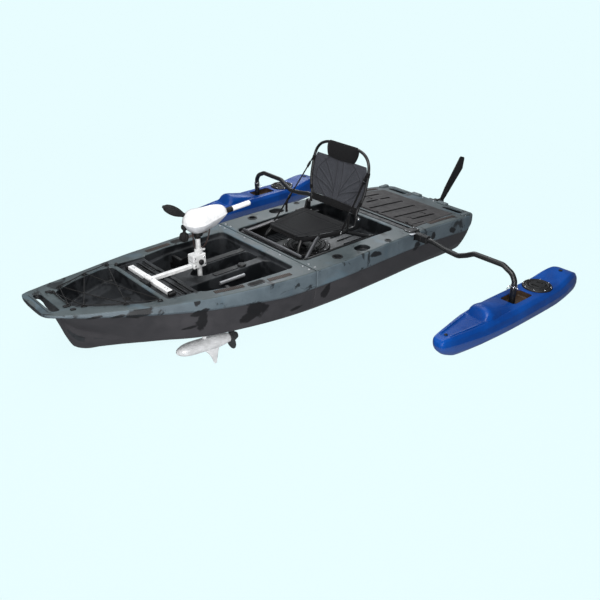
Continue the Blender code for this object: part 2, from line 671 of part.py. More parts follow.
def propeller(black):
    hub = turned("propeller", [(0, 0), (0.026, 0), (0.030, 0.010), (0.030, 0.036), (0.018, 0.058),
                               (0, 0.064)], place(TORPEDO_END + GAP, 0, TORPEDO_Z), (1, 0, 0), black, 20)
    for side in (0, 1):
        rings = []
        # radius, half chord, pitch, half thickness
        for r, chord, pitch, thick in ((0.016, 0.014, 62, 0.0045), (0.040, 0.024, 52, 0.0040),
                                       (0.070, 0.030, 38, 0.0030), (0.092, 0.024, 30, 0.0022),
                                       (PROP_R, 0.008, 26, 0.0015)):
            ring = []
            turn = math.radians(pitch)
            for along, across in ((-1, 0), (-0.4, 0.9), (0.4, 1), (1, 0), (0.4, -1), (-0.4, -0.9)):
                a, c = along * chord, across * thick
                x = a * math.sin(turn) + c * math.cos(turn)
                y = a * math.cos(turn) - c * math.sin(turn)
                ring.append(Vector((x, y, r)))
            rings.append(ring)
        blade = loft("blade", rings, None, CUTTERS)
        spin = Matrix.Rotation(math.radians(20) + math.pi * side, 4, "X")
        blade.data.transform(Matrix.Translation(place(TORPEDO_END + 0.024, 0, TORPEDO_Z)) @ spin)
        fuse(hub, blade)
    hub.data.materials.clear()
    hub.data.materials.append(black)
    return hub


# Seat

def seat_base(black):
    """Tube frame: a loop under the pan, three pairs of legs, runners and the front tube."""
    z = PAN_Z - SEAT_TUBE - 0.006
    loop = [(PAN_FRONT, -PAN_HALF_FRONT), (PAN_REAR, -PAN_HALF_REAR), (PAN_REAR, PAN_HALF_REAR),
            (PAN_FRONT, PAN_HALF_FRONT)]
    path = [place(p.x, p.y, z) for p in round_off(loop, 0.05)]
    base = tube("seat_base", path, SEAT_TUBE, None, closed=True)
    foot = RAIL_TOP + SEAT_TUBE + GAP
    parts = []
    for side in (-1, 1):
        middle = [place(1.755, side * 0.182, z), place(1.545, side * FOOT_TUBE_HALF, foot)]
        rear = [place(PAN_REAR - 0.05, side * (PAN_HALF_REAR - 0.004), z),
                place(2.10, side * FOOT_TUBE_HALF, foot)]
        runner = [place(FOOT_TUBE_X - 0.004, side * FOOT_TUBE_HALF, foot),
                  place(2.125, side * FOOT_TUBE_HALF, foot)]
        front = smooth_path([place(PAN_FRONT + 0.012, side * 0.140, z), place(1.618, side * 0.156, 0.345),
                             place(1.600, side * 0.166, 0.290), place(1.599, side * 0.167, 0.253)], 2)
        for points in (middle, rear, runner, front):
            parts.append(tube("seat_leg", points, SEAT_TUBE * 0.96, None, group=CUTTERS))
        low_y, high_y = sorted((side * LUG_INNER, side * (LUG_INNER + 0.012)))
        parts.append(box("lug_foot", (BACK_X - 0.120, low_y, PAN_Z - 0.026), (BACK_X + 0.014, high_y, PAN_Z),
                         None, 0.003, group=CUTTERS))
        parts.append(box("back_lug", (BACK_X - 0.020, low_y, PAN_Z - 0.020),
                         (BACK_X + 0.013, high_y, BACK_Z + 0.014), None, 0.003, group=CUTTERS))
    parts.append(tube("front_tube", [place(FOOT_TUBE_X, -FOOT_TUBE_HALF - 0.001, foot),
                                     place(FOOT_TUBE_X, FOOT_TUBE_HALF + 0.001, foot)],
                      SEAT_TUBE * 0.92, None, group=CUTTERS))
    for part in parts:
        fuse(base, part)
    cut(base, rod("fold_bore", place(BACK_X, -0.3, BACK_Z), place(BACK_X, 0.3, BACK_Z), FOLD_PIN + GAP,
                  sides=24, group=CUTTERS))
    base.data.materials.clear()
    base.data.materials.append(black)
    return base


def seat_pan(fabric):
    """Fabric stretched over the loop, with its rear corners inside the back's lugs."""
    outline = round_off(mirrored([(PAN_FRONT - 0.015, PAN_HALF_FRONT, 0.03), (1.920, 0.2265, 0.05),
                                  (PAN_REAR + 0.010, 0.2265, 0.02)]), 0.03)
    return slab("seat_pan", outline, PAN_Z - 0.0055 + GAP, PAN_Z + 0.006, fabric, 0.003)


def lean(point):
    """Point of the upright seat back, leaned aft about the fold axis."""
    axis = Vector((BACK_X, 0, BACK_Z))
    x, y, z = Vector(point) - axis
    return place(BACK_X + x * math.cos(BACK_LEAN) + z * math.sin(BACK_LEAN), y,
                 BACK_Z - x * math.sin(BACK_LEAN) + z * math.cos(BACK_LEAN))


def back_rest(black, fabric):
    """Hoop frame of the back, its fabric, lower band and head pad."""
    half = [(BACK_Z, 0.215), (0.510, 0.217), (0.600, 0.246), (0.700, 0.252), (0.765, 0.248),
            (0.810, 0.232), (0.843, 0.200), (0.863, 0.150), (0.868, 0.090)]
    outline = [(z, -y) for z, y in half] + [(z, y) for z, y in reversed(half)]
    frame = tube("back_frame", smooth_path([lean((BACK_X, y, z)) for z, y in outline], 2), 0.0095, None)
    pin = rod("fold_pin", place(BACK_X, -0.245, BACK_Z), place(BACK_X, 0.245, BACK_Z), FOLD_PIN, None,
              sides=24, group=CUTTERS)
    fuse(frame, pin)
    frame.data.materials.clear()
    frame.data.materials.append(black)
    sheets = []
    for name, rows, mat in (
            ("back_panel", [(0.515, 0.220), (0.560, 0.236), (0.600, 0.246), (0.700, 0.252), (0.757, 0.248)],
             fabric),
            ("lower_band", [(0.466, 0.215), (0.5145, 0.219)], black),
            ("head_pad", [(0.7575, 0.092), (0.790, 0.114), (0.835, 0.121), (0.868, 0.104)], black)):
        rings = []
        for z, y in rows:
            front, rear = BACK_X - SHEET / 2, BACK_X + SHEET / 2
            rings.append([lean((front, -y, z)), lean((front, y, z)), lean((rear, y, z)), lean((rear, -y, z))])
        sheets.append(loft(name, rings, mat))
    seat_on(frame, *sheets)
    pivot("back_axis", place(BACK_X, 0, BACK_Z), frame, *sheets)
    return frame


def side_straps(base, frame, black):
    """Webbing from the hoop's upper corners down to the pan frame, beside the back on the port side."""
    height = PAN_Z - 0.0185
    lower_ends = {
        "port": (-1, place(STRAP_PORT_X, -0.2332, height)),
        "starboard": (1, place(PAN_FRONT + 0.035, PAN_HALF_FRONT + 0.0245, height)),
    }
    for word, (side, low) in lower_ends.items():
        top = lean((BACK_X - 0.0130, side * 0.250, 0.735))
        strap = tube("back_strap_" + word, [top, low], 0.0055, black, resolution=1)
        seat_on(frame, strap)
        seat_on(base, strap)


# Outriggers

def crossbar(black):
    """One square tube across both gunwales, with a round socket at each end and a plate over it."""
    z = GROOVE_FLOOR + BAR_HALF + GAP
    bar = box("outrigger_crossbar", (ARM_X - 0.021, -ARM_SOCKET, z - BAR_HALF),
              (ARM_X + 0.021, ARM_SOCKET, z + BAR_HALF), black, 0.006)
    for side in (-1, 1):
        bore = rod("socket", place(ARM_X, side * (ARM_SOCKET - 0.10), z),
                   place(ARM_X, side * (ARM_SOCKET + 0.02), z), ARM_R + GAP, sides=24, group=CUTTERS)
        cut(bar, bore)
    deck = sheer_at(ARM_X) + GAP
    for word, side in (("port", -1), ("starboard", 1)):
        low_y, high_y = sorted((side * 0.385, side * 0.445))
        plate = box("clamp_plate_" + word, (ARM_X - 0.048, low_y, deck),
                    (ARM_X + 0.048, high_y, deck + 0.0046), black, 0.0015)
        lie_on_deck(plate, ARM_X, deck)
    return z


def outrigger(word, side, z, black, blue):
    """Bent arm, leg and float of one side; they turn together in the crossbar's socket."""
    run = [(ARM_SOCKET - 0.098, z), (0.600, z), (0.700, 0.304), (0.800, ARM_DIP), (0.862, 0.322),
           (0.915, ARM_HIGH), (1.125, ARM_HIGH + 0.001), (1.193, 0.318), (ARM_Y, 0.278), (ARM_Y, LEG_TOP)]
    path = bent_path([place(ARM_X, side * y, h) for y, h in run], 0.060)
    arm = tube("arm_" + word, path, ARM_R, black, resolution=3)
    leg = rod("float_leg_" + word, place(ARM_X, side * ARM_Y, LEG_FLOOR + GAP),
              place(ARM_X, side * ARM_Y, LEG_TOP - GAP), 0.0185, None, sides=24)
    pin = rod("pin", place(ARM_X, side * ARM_Y - 0.030, 0.238), place(ARM_X, side * ARM_Y + 0.030, 0.238),
              0.004, None, sides=10, group=CUTTERS)
    fuse(leg, pin)
    leg.data.materials.clear()
    leg.data.materials.append(black)
    hull = float_body(word, side, blue)
    ring, lid = round_hatch("float_hatch_" + word, LID_X, side * ARM_Y, FLOAT_DECK + GAP, LID_R, 0.014,
                            black)
    pivot("arm_axis_" + word, place(ARM_X, side * ARM_SOCKET, z), arm, leg, hull, ring, lid)


def float_body(word, side, blue):
    """Long float: low bow, a hump ahead of the leg, a recess for the leg and a blunt raised stern."""
    rings = []
    # station, half width, bottom, top
    for x, half, low, top in ((FLOAT_FRONT, 0.026, 0.092, 0.130), (1.700, 0.040, 0.065, 0.146),
                              (1.735, 0.052, 0.035, 0.150), (1.800, 0.068, 0.008, 0.152),
                              (1.900, 0.088, 0.003, 0.155), (2.000, 0.105, 0.002, 0.160),
                              (2.200, FLOAT_HALF, 0.002, 0.165), (2.500, 0.117, 0.002, 0.164),
                              (2.700, 0.112, 0.003, 0.166), (2.800, 0.103, 0.005, 0.184),
                              (2.880, 0.090, 0.009, 0.190), (2.940, 0.074, 0.014, 0.172),
                              (2.985, 0.055, 0.022, 0.135), (FLOAT_REAR, 0.035, 0.035, 0.105)):
        mid = mix(low, top, 0.62)
        shape = [(0, low), (0.55, mix(low, mid, 0.12)), (0.90, mix(low, mid, 0.55)), (1.0, mid),
                 (0.93, mix(mid, top, 0.72)), (0.75, mix(mid, top, 0.97)), (0.35, top)]
        right = [place(x, side * ARM_Y + half * y, h) for y, h in shape]
        left = [place(x, side * ARM_Y - half * y, h) for y, h in reversed(shape[1:])]
        rings.append(right + left)
    body = loft("float_" + word, rings, None)
    rings = []
    # station, half width and top of the hump
    for x, half, top in ((2.022, 0.052, 0.168), (2.040, 0.066, 0.202), (2.072, 0.075, 0.218),
                         (2.150, 0.073, 0.203), (2.230, 0.068, 0.184), (2.292, 0.062, 0.168)):
        shape = [(1.0, 0.120), (1.0, 0.158), (0.90, mix(0.158, top, 0.75)), (0.70, top), (0.30, top + 0.002)]
        rings.append([place(x, side * ARM_Y + half * y, h) for y, h in shape]
                     + [place(x, side * ARM_Y - half * y, h) for y, h in reversed(shape)])
    fuse(body, loft("hump", rings, None, CUTTERS))
    well = round_off([(2.305, side * ARM_Y - 0.056), (2.500, side * ARM_Y - 0.056),
                      (2.500, side * ARM_Y + 0.056), (2.305, side * ARM_Y + 0.056)], 0.02)
    cut(body, slab("leg_recess", well, LEG_FLOOR, 0.3, group=CUTTERS),
        rod("hatch_seat", place(LID_X, side * ARM_Y, FLOAT_DECK), place(LID_X, side * ARM_Y, 0.3),
            LID_R + 0.002, sides=40, group=CUTTERS))
    body.data.materials.clear()
    body.data.materials.append(blue)
    return body


# Rudder

def rudder(black):
    """Transom bracket with a pin, head that swings on it, and blade raised from its pivot."""
    z = RUDDER_Z
    bracket = box("rudder_bracket", (LENGTH + GAP, -0.030, z - 0.026), (LENGTH + 0.020, 0.030, z + 0.040),
                  None, 0.003)
    for low in (z - 0.030, z + 0.018):
        fuse(bracket, box("ear", (LENGTH + 0.010, -0.016, low), (RUDDER_X + 0.014, 0.016, low + 0.012), None,
                          0.002, group=CUTTERS))
    fuse(bracket, rod("pin", place(RUDDER_X, 0, z - 0.026), place(RUDDER_X, 0, z + 0.026), 0.005, None,
                      sides=16, group=CUTTERS))
    bracket.data.materials.append(black)
    low, high = z - 0.0175, z + 0.0175
    head = rod("rudder_head", place(RUDDER_X, 0, low), place(RUDDER_X, 0, high), 0.013, None, sides=24)
    fuse(head, box("yoke", (RUDDER_X + 0.004, -0.016, low), (RUDDER_PIVOT_X + 0.018, 0.016, high),
                   None, 0.002, group=CUTTERS))
    cut(head, rod("head_bore", place(RUDDER_X, 0, z - 0.06), place(RUDDER_X, 0, z + 0.06), 0.0053, sides=24,
                  group=CUTTERS),
        box("yoke_gap", (RUDDER_PIVOT_X - 0.024, -0.0055, z - 0.06),
            (RUDDER_PIVOT_X + 0.1, 0.0055, z + 0.06), None, group=CUTTERS))
    fuse(head, rod("blade_pin", place(RUDDER_PIVOT_X, -0.014, z), place(RUDDER_PIVOT_X, 0.014, z), 0.004,
                   None, sides=16, group=CUTTERS))
    head.data.materials.clear()
    head.data.materials.append(black)
    blade = rudder_blade(black)
    pivot("rudder_axis", place(RUDDER_X, 0, z), head)
    pivot("blade_axis", place(RUDDER_PIVOT_X, 0, z), blade)


def rudder_blade(black):
    """Flat blade drawn along its own length, then raised about the pivot."""
    outline = round_off([(-0.016, -0.016, 0.015), (0.05, -0.030, 0.02), (0.30, -0.060, 0.03),
                         (0.375, -0.020, 0.02), (0.360, 0.030, 0.02), (0.10, 0.030, 0.03),
                         (-0.016, 0.016, 0.015)], 0.01)
    bm = bmesh.new()
    rims = []
    for y in (-0.0045, 0.0045):
        rims.append([bm.verts.new((p.x, y, p.y)) for p in outline])
    bm.faces.new(rims[0])
    bm.faces.new(rims[1][::-1])
    for i in range(len(outline)):
        j = (i + 1) % len(outline)
        bm.faces.new((rims[0][i], rims[1][i], rims[1][j], rims[0][j]))
    bmesh.ops.transform(bm, matrix=Matrix.Translation(place(RUDDER_PIVOT_X, 0, RUDDER_Z))
                        @ Matrix.Rotation(-RUDDER_RISE, 4, "Y"), verts=bm.verts)
    blade = add_object("rudder_blade", mesh_from(bm, "rudder_blade"), black)
    cut(blade, rod("blade_bore", place(RUDDER_PIVOT_X, -0.05, RUDDER_Z),
                   place(RUDDER_PIVOT_X, 0.05, RUDDER_Z), 0.0043, sides=16, group=CUTTERS))
    return blade


def main():
    clear_scene()
    hull_mat = material("hull_plastic", GREY, 0.55)
    black = material("black_plastic", BLACK, 0.5)
    tube_mat = material("black_tube", BLACK, 0.35, 0.4)
    grey = material("grey_tube", (0.25, 0.26, 0.27), 0.4)
    brown = material("panel_rubber", (0.045, 0.040, 0.038), 0.7)
    white = material("white_paint", WHITE, 0.3)
    blue = material("float_plastic", BLUE, 0.3)
    fabric = material("seat_fabric", (0.06, 0.062, 0.068), 0.9)
    bow = bow_section(hull_mat)
    stern = stern_section(hull_mat)
    deck_fittings(bow, stern, black, grey, brown)
    motor_frame(white)
    motor(white, black)
    base = seat_base(tube_mat)
    seat_pan(fabric)
    frame = back_rest(tube_mat, fabric)
    side_straps(base, frame, black)
    height = crossbar(tube_mat)
    for word, side in (("port", -1), ("starboard", 1)):
        outrigger(word, side, height, tube_mat, blue)
    rudder(black)


main()
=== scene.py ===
import math

import bmesh
import bpy
from mathutils import Matrix, Vector


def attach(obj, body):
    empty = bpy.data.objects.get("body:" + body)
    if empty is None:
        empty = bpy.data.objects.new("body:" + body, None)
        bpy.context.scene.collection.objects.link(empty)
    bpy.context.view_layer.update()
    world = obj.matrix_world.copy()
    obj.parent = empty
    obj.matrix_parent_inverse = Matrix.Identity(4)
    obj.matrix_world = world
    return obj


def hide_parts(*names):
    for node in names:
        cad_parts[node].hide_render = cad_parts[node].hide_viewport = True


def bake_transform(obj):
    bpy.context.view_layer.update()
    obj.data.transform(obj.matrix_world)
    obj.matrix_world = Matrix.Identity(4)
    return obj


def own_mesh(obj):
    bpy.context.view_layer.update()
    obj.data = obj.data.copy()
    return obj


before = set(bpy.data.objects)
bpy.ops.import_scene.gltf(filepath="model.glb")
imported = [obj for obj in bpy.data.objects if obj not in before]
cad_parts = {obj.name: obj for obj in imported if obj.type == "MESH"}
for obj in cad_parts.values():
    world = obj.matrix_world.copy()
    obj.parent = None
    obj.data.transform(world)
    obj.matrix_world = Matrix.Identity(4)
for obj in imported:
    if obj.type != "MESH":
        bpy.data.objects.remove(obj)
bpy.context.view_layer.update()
sceneNow = bpy.context.scene
upVector, aftVector = Vector((0, 0, 1)), Vector((1, 0, 0))
bothSides = (("port", -1), ("starboard", 1))

boat = {
    "length": 3.05,
    "draft": 0.1,             # keel to the waterline, which is world z = 0
    "sheer": 0.355,           # gunwale above the keel amidships
    "bowRise": 0.095,
    "sternDrop": 0.072,
    "joint": 1.475,           # seam between the two hull sections
    "gap": 0.0003,            # left between a piece and what carries it
}


def boatPoint(x, y, z):       # station aft of the bow tip, width, height above the keel
    return Vector((x - boat["length"] / 2, y, z - boat["draft"]))


def boatPath(*points):
    return [boatPoint(*p) for p in points]


def mixed(a, b, t):
    return a + (b - a) * t


def eased(t):
    t = min(1.0, max(0.0, t))
    return t * t * (3 - 2 * t)


# Meshes

def newPiece(name, mesh):
    piece = bpy.data.objects.new(name, mesh)
    sceneNow.collection.objects.link(piece)
    return piece


def painted(piece, *coats):    # coats: materials, or words of the finishes below
    for coat in coats:
        if coat:
            piece.data.materials.append(finishes[coat] if isinstance(coat, str) else coat)
    return piece


def meshOf(bm, name, sharp=38, recalc=True):
    if recalc:
        bmesh.ops.recalc_face_normals(bm, faces=bm.faces)
    mesh = bpy.data.meshes.new(name)
    bm.to_mesh(mesh)
    bm.free()
    mesh.shade_smooth()
    mesh.set_sharp_from_angle(angle=math.radians(sharp))
    return mesh


def bakeModifiers(piece):     # turns live modifiers into plain mesh
    graph = bpy.context.evaluated_depsgraph_get()
    graph.update()
    baked = bpy.data.meshes.new_from_object(piece.evaluated_get(graph), depsgraph=graph)
    piece.modifiers.clear()
    old = piece.data
    piece.data = baked
    baked.name = piece.name
    if old.users == 0:
        bpy.data.meshes.remove(old)
    return piece


def evenNormals(piece):       # big flat faces keep their shade beside small round edges
    step = piece.modifiers.new("evenNormals", "WEIGHTED_NORMAL")
    step.keep_sharp = True
    step.weight = 60
    return bakeModifiers(piece)


def joinPieces(name, pieces):
    bm = bmesh.new()
    coats = []
    for piece in pieces:
        start = len(bm.faces)
        bm.from_mesh(piece.data)
        bm.faces.ensure_lookup_table()
        own = list(piece.data.materials)
        for face in bm.faces[start:]:
            coat = own[face.material_index] if own else None
            if coat not in coats:
                coats.append(coat)
            face.material_index = coats.index(coat)
    for piece in pieces:
        bpy.data.objects.remove(piece, do_unlink=True)
    return painted(newPiece(name, meshOf(bm, name, recalc=False)), *coats)


def loftRings(name, rings, caps=True, sharp=38):
    bm = bmesh.new()
    rows = [[bm.verts.new(p) for p in ring] for ring in rings]
    for a, b in zip(rows, rows[1:]):
        for i in range(len(a)):
            j = (i + 1) % len(a)
            bm.faces.new((a[i], a[j], b[j], b[i]))
    if caps:
        bm.faces.new(rows[0][::-1])
        bm.faces.new(rows[-1])
    return newPiece(name, meshOf(bm, name, sharp))


def curveAt(a, b, c, d, t):   # from b to c, with a and d as its neighbours
    return 0.5 * (2 * b + (c - a) * t + (2 * a - 5 * b + 4 * c - d) * t ** 2
                  + (3 * b - a - 3 * c + d) * t ** 3)


def smoothPath(points, perSpan=8):    # curve through the given points
    pts = [Vector(p) for p in points]
    ends = [pts[0] * 2 - pts[1]] + pts + [pts[-1] * 2 - pts[-2]]
    result = []
    for i in range(1, len(ends) - 2):
        result += [curveAt(*ends[i - 1:i + 3], k / perSpan) for k in range(perSpan)]
    return result + [pts[-1]]


def cornerArc(before, here, after, radius, steps):    # the corner at here, rounded
    back, ahead = before - here, after - here
    half = back.angle(ahead) / 2
    run = min(radius / math.tan(half), back.length * 0.49, ahead.length * 0.49)
    r = run * math.tan(half)
    if r < 1e-5:
        return [here]
    centre = here + (back.normalized() + ahead.normalized()).normalized() * (r / math.sin(half))
    a = here + back.normalized() * run - centre
    b = here + ahead.normalized() * run - centre
    return [centre + a.lerp(b, k / steps).normalized() * r for k in range(steps + 1)]


def bentPath(points, radius, steps=8):    # straight runs with their corners bent
    pts = [Vector(p) for p in points]
    result = [pts[0]]
    for before, here, after in zip(pts, pts[1:], pts[2:]):
        result += cornerArc(before, here, after, radius, steps)
    return result + [pts[-1]]


def tubeAlong(name, points, radius, finish=None, sides=14, closed=False, dome=0.0):
    # dome: how far its rounded ends reach out
    pts = [Vector(p) for p in points]
    last = len(pts) - 1
    tangents = []
    for i in range(last + 1):
        before, after = (i - 1, (i + 1) % len(pts)) if closed else (max(i - 1, 0), min(i + 1, last))
        tangents.append((pts[after] - pts[before]).normalized())
    across = tangents[0].cross(upVector if abs(tangents[0].z) < 0.9 else aftVector).normalized()
    frames = []
    for t in tangents:
        across = (across - t * across.dot(t)).normalized()
        frames.append((across, t.cross(across).normalized()))

    def ringAt(i, centre, r):
        u, v = frames[i]
        return [centre + (u * math.cos(a) + v * math.sin(a)) * r
                for a in [math.tau * s / sides for s in range(sides)]]

    rounding = [(dome * (1 - k), radius * math.sin(math.acos(1 - k))) for k in (0.15, 0.45, 0.8) if dome]
    rings = [ringAt(0, pts[0] - tangents[0] * push, r) for push, r in rounding]
    rings += [ringAt(i, p, radius) for i, p in enumerate(pts)]
    rings += [ringAt(last, pts[last] + tangents[last] * push, r) for push, r in reversed(rounding)]
    if closed:
        rings.append(rings[0])
    piece = loftRings(name, rings, caps=not closed)
    if closed:
        bm = bmesh.new()
        bm.from_mesh(piece.data)
        bmesh.ops.remove_doubles(bm, verts=bm.verts, dist=1e-5)
        piece.data = meshOf(bm, name)
    return painted(piece, finish)


def turnedPiece(name, profile, origin, axis, finish=None, steps=40, corner=0):
    # profile: radius, distance along the axis and, with corner steps given, the corner's own radius
    if corner:
        profile = roundProfile(profile, corner)
    turn = Vector(axis).to_track_quat("Z", "Y").to_matrix().to_4x4()
    place = Matrix.Translation(origin) @ turn
    bm = bmesh.new()
    rows = []
    for r, h in profile:
        if r < 1e-6:
            rows.append([bm.verts.new(place @ Vector((0, 0, h)))])
        else:
            rows.append([bm.verts.new(place @ Vector((r * math.cos(a), r * math.sin(a), h)))
                         for a in [math.tau * s / steps for s in range(steps)]])
    for a, b in zip(rows, rows[1:]):
        for i in range(steps):
            j = (i + 1) % steps
            ring = [a[i % len(a)], a[j % len(a)], b[j % len(b)], b[i % len(b)]]
            corners = [v for k, v in enumerate(ring) if v not in ring[:k]]
            if len(corners) > 2:
                bm.faces.new(corners)
    return painted(newPiece(name, meshOf(bm, name)), finish)


def roundProfile(points, steps):    # (radius, height, corner radius) -> profile with filleted corners
    result = []
    for i, p in enumerate(points):
        if len(p) < 3 or i in (0, len(points) - 1):
            result.append(tuple(p[:2]))
            continue
        arc = cornerArc(*[Vector(q[:2]) for q in points[i - 1:i + 2]], p[2], steps)
        result += [(max(q.x, 0), q.y) for q in arc]
    return result


def roundOutline(points, radius, steps=8):    # closed (x, y) outline with filleted corners
    result = []
    for i, corner in enumerate(points):
        before, here, after = (Vector(points[(i + j) % len(points)][:2]) for j in (-1, 0, 1))
        result += cornerArc(before, here, after, corner[2] if len(corner) > 2 else radius, steps)
    return result


def mirroredOutline(points):
    return [*points, *[(p[0], -p[1], *p[2:]) for p in reversed(points)]]


def outlineNormals(outline):
    count = len(outline)
    area = sum(outline[i - 1].x * outline[i].y - outline[i].x * outline[i - 1].y for i in range(count))
    normals = []
    for i in range(count):
        along = (outline[(i + 1) % count] - outline[i - 1]).normalized()
        normals.append(Vector((along.y, -along.x)) * (1 if area > 0 else -1))
    return normals


def roundedBox(name, low, high, radius, finish=None, segments=3):
    low, high = Vector(low), Vector(high)
    bm = bmesh.new()
    bmesh.ops.create_cube(bm, size=1.0)
    bmesh.ops.scale(bm, vec=high - low, verts=bm.verts)
    bmesh.ops.bevel(bm, geom=list(bm.edges), offset=radius, segments=segments, profile=0.5, affect="EDGES",
                    clamp_overlap=True)
    bmesh.ops.translate(bm, vec=(low + high) / 2, verts=bm.verts)
    return painted(newPiece(name, meshOf(bm, name)), finish)


def plateOf(name, outline, place, thickness, rim, finish=None):
    # flat plate with rounded rims; place maps (x, y, height) to the world
    outline = [Vector(p[:2]) for p in outline]
    normals = outlineNormals(outline)
    levels = []
    for k in range(5):
        a = math.radians(22.5) * k
        levels.append((-rim * (1 - math.sin(a)), rim * (1 - math.cos(a))))
    levels += [(draw, thickness - h) for draw, h in reversed(levels)]
    rings = [[place(p.x + n.x * draw, p.y + n.y * draw, h) for p, n in zip(outline, normals)]
             for draw, h in levels]
    return painted(loftRings(name, rings), finish)


def mergeClose(piece, dist=1e-6):
    bm = bmesh.new()
    bm.from_mesh(piece.data)
    bmesh.ops.remove_doubles(bm, verts=bm.verts, dist=dist)
    bmesh.ops.dissolve_degenerate(bm, edges=bm.edges, dist=dist)
    bm.to_mesh(piece.data)
    bm.free()


def carve(target, cutters, operation="DIFFERENCE", solver="EXACT"):
    mergeClose(target, 1e-5)
    for cutter in cutters:
        mergeClose(cutter, 1e-5)
        step = target.modifiers.new("carve", "BOOLEAN")
        step.operation = operation
        step.solver = solver
        step.object = cutter
        bakeModifiers(target)
        bpy.data.objects.remove(cutter, do_unlink=True)
    bm = bmesh.new()
    bm.from_mesh(target.data)
    bmesh.ops.remove_doubles(bm, verts=bm.verts, dist=2e-5)
    coats = list(target.data.materials)
    target.data = meshOf(bm, target.name, recalc=False)
    return painted(target, *coats)


# Repeated items, set on points by Geometry Nodes

def itemTree():
    tree = bpy.data.node_groups.new("itemsOnPoints", "GeometryNodeTree")
    for name, kind in (("Geometry", "NodeSocketGeometry"), ("Item", "NodeSocketObject"),
                       ("Item Size", "NodeSocketFloat"), ("Finish", "NodeSocketMaterial")):
        tree.interface.new_socket(name, in_out="INPUT", socket_type=kind)
    tree.interface.new_socket("Geometry", in_out="OUTPUT", socket_type="NodeSocketGeometry")
    nodes, links = tree.nodes, tree.links
    given, result = nodes.new("NodeGroupInput"), nodes.new("NodeGroupOutput")
    item = nodes.new("GeometryNodeObjectInfo")
    links.new(given.outputs["Item"], item.inputs["Object"])
    turns = []
    for word, axis in (("facing", "Z"), ("along", "X")):
        attribute = nodes.new("GeometryNodeInputNamedAttribute")
        attribute.data_type = "FLOAT_VECTOR"
        attribute.inputs["Name"].default_value = word
        align = nodes.new("FunctionNodeAlignRotationToVector")
        align.axis = axis
        align.pivot_axis = "AUTO" if axis == "Z" else "Z"
        links.new(attribute.outputs["Attribute"], align.inputs["Vector"])
        turns.append(align)
    links.new(turns[0].outputs["Rotation"], turns[1].inputs["Rotation"])
    spread = nodes.new("GeometryNodeInstanceOnPoints")
    links.new(given.outputs["Geometry"], spread.inputs["Points"])
    links.new(item.outputs["Geometry"], spread.inputs["Instance"])
    links.new(turns[1].outputs["Rotation"], spread.inputs["Rotation"])
    links.new(given.outputs["Item Size"], spread.inputs["Scale"])
    real = nodes.new("GeometryNodeRealizeInstances")
    paint = nodes.new("GeometryNodeSetMaterial")
    links.new(spread.outputs["Instances"], real.inputs["Geometry"])
    links.new(real.outputs["Geometry"], paint.inputs["Geometry"])
    links.new(given.outputs["Finish"], paint.inputs["Material"])
    links.new(paint.outputs["Geometry"], result.inputs["Geometry"])
    return tree


itemsOnPoints = itemTree()


def setItems(name, item, places, finish, size=1.0):
    # places: (position, facing, along); the item stands on its own origin and is removed afterwards
    mesh = bpy.data.meshes.new(name)
    mesh.from_pydata([tuple(p[0]) for p in places], [], [])
    for word, index in (("facing", 1), ("along", 2)):
        values = mesh.attributes.new(word, "FLOAT_VECTOR", "POINT")
        for slot, p in zip(values.data, places):
            slot.vector = p[index]
    holder = newPiece(name, mesh)
    step = holder.modifiers.new("items", "NODES")
    step.node_group = itemsOnPoints
    named = {s.name: s.identifier for s in itemsOnPoints.interface.items_tree if s.in_out == "INPUT"}
    step[named["Item"]] = item
    step[named["Item Size"]] = size
    step[named["Finish"]] = finishes[finish]
    bakeModifiers(holder)
    bpy.data.objects.remove(item, do_unlink=True)
    return holder


# Finishes

def newFinish(name, colour, roughness=0.5, metallic=0.0, **more):
    # more: other sockets of the shader, with underscores for their spaces
    finish = bpy.data.materials.new(name)
    finish.use_nodes = True
    shader = finish.node_tree.nodes["Principled BSDF"]
    shader.inputs["Base Color"].default_value = (*colour, 1)
    shader.inputs["Roughness"].default_value = roughness
    shader.inputs["Metallic"].default_value = metallic
    for word, value in more.items():
        shader.inputs[word.replace("_", " ")].default_value = value
    finish.diffuse_color = (*colour, 1)
    return finish


def nodeOf(finish, kind, settings=None, inputs=None, feeds=None):
    # one shader node with its settings, fixed inputs and incoming links
    node = finish.node_tree.nodes.new(kind)
    for key, value in (settings or {}).items():
        setattr(node, key, value)
    for key, value in (inputs or {}).items():
        node.inputs[key].default_value = value
    for key, socket in (feeds or {}).items():
        finish.node_tree.links.new(socket, node.inputs[key])
    return node


def plug(finish, socket, target):
    shader = finish.node_tree.nodes["Principled BSDF"]
    finish.node_tree.links.new(socket, shader.inputs[target])


def objectPlace(finish, location=(0, 0, 0)):
    coords = nodeOf(finish, "ShaderNodeTexCoord")
    return nodeOf(finish, "ShaderNodeMapping", inputs={"Location": location},
                  feeds={"Vector": coords.outputs["Object"]}).outputs["Vector"]


def noiseOf(finish, scale, detail=3.0, rough=0.55, place=None, distortion=0.0):
    return nodeOf(finish, "ShaderNodeTexNoise",
                  inputs={"Scale": scale, "Detail": detail, "Roughness": rough, "Distortion": distortion},
                  feeds={"Vector": place or objectPlace(finish)}).outputs["Fac"]


def rangeOf(finish, value, low, high, toLow=0.0, toHigh=1.0):
    return nodeOf(finish, "ShaderNodeMapRange", {"interpolation_type": "SMOOTHSTEP"},
                  {"From Min": low, "From Max": high, "To Min": toLow, "To Max": toHigh},
                  {"Value": value}).outputs["Result"]


def give(finish, node, slot, value):    # a socket, a colour or a number
    if hasattr(value, "node"):
        finish.node_tree.links.new(value, node.inputs[slot])
    else:
        node.inputs[slot].default_value = (*value, 1) if isinstance(value, tuple) else value


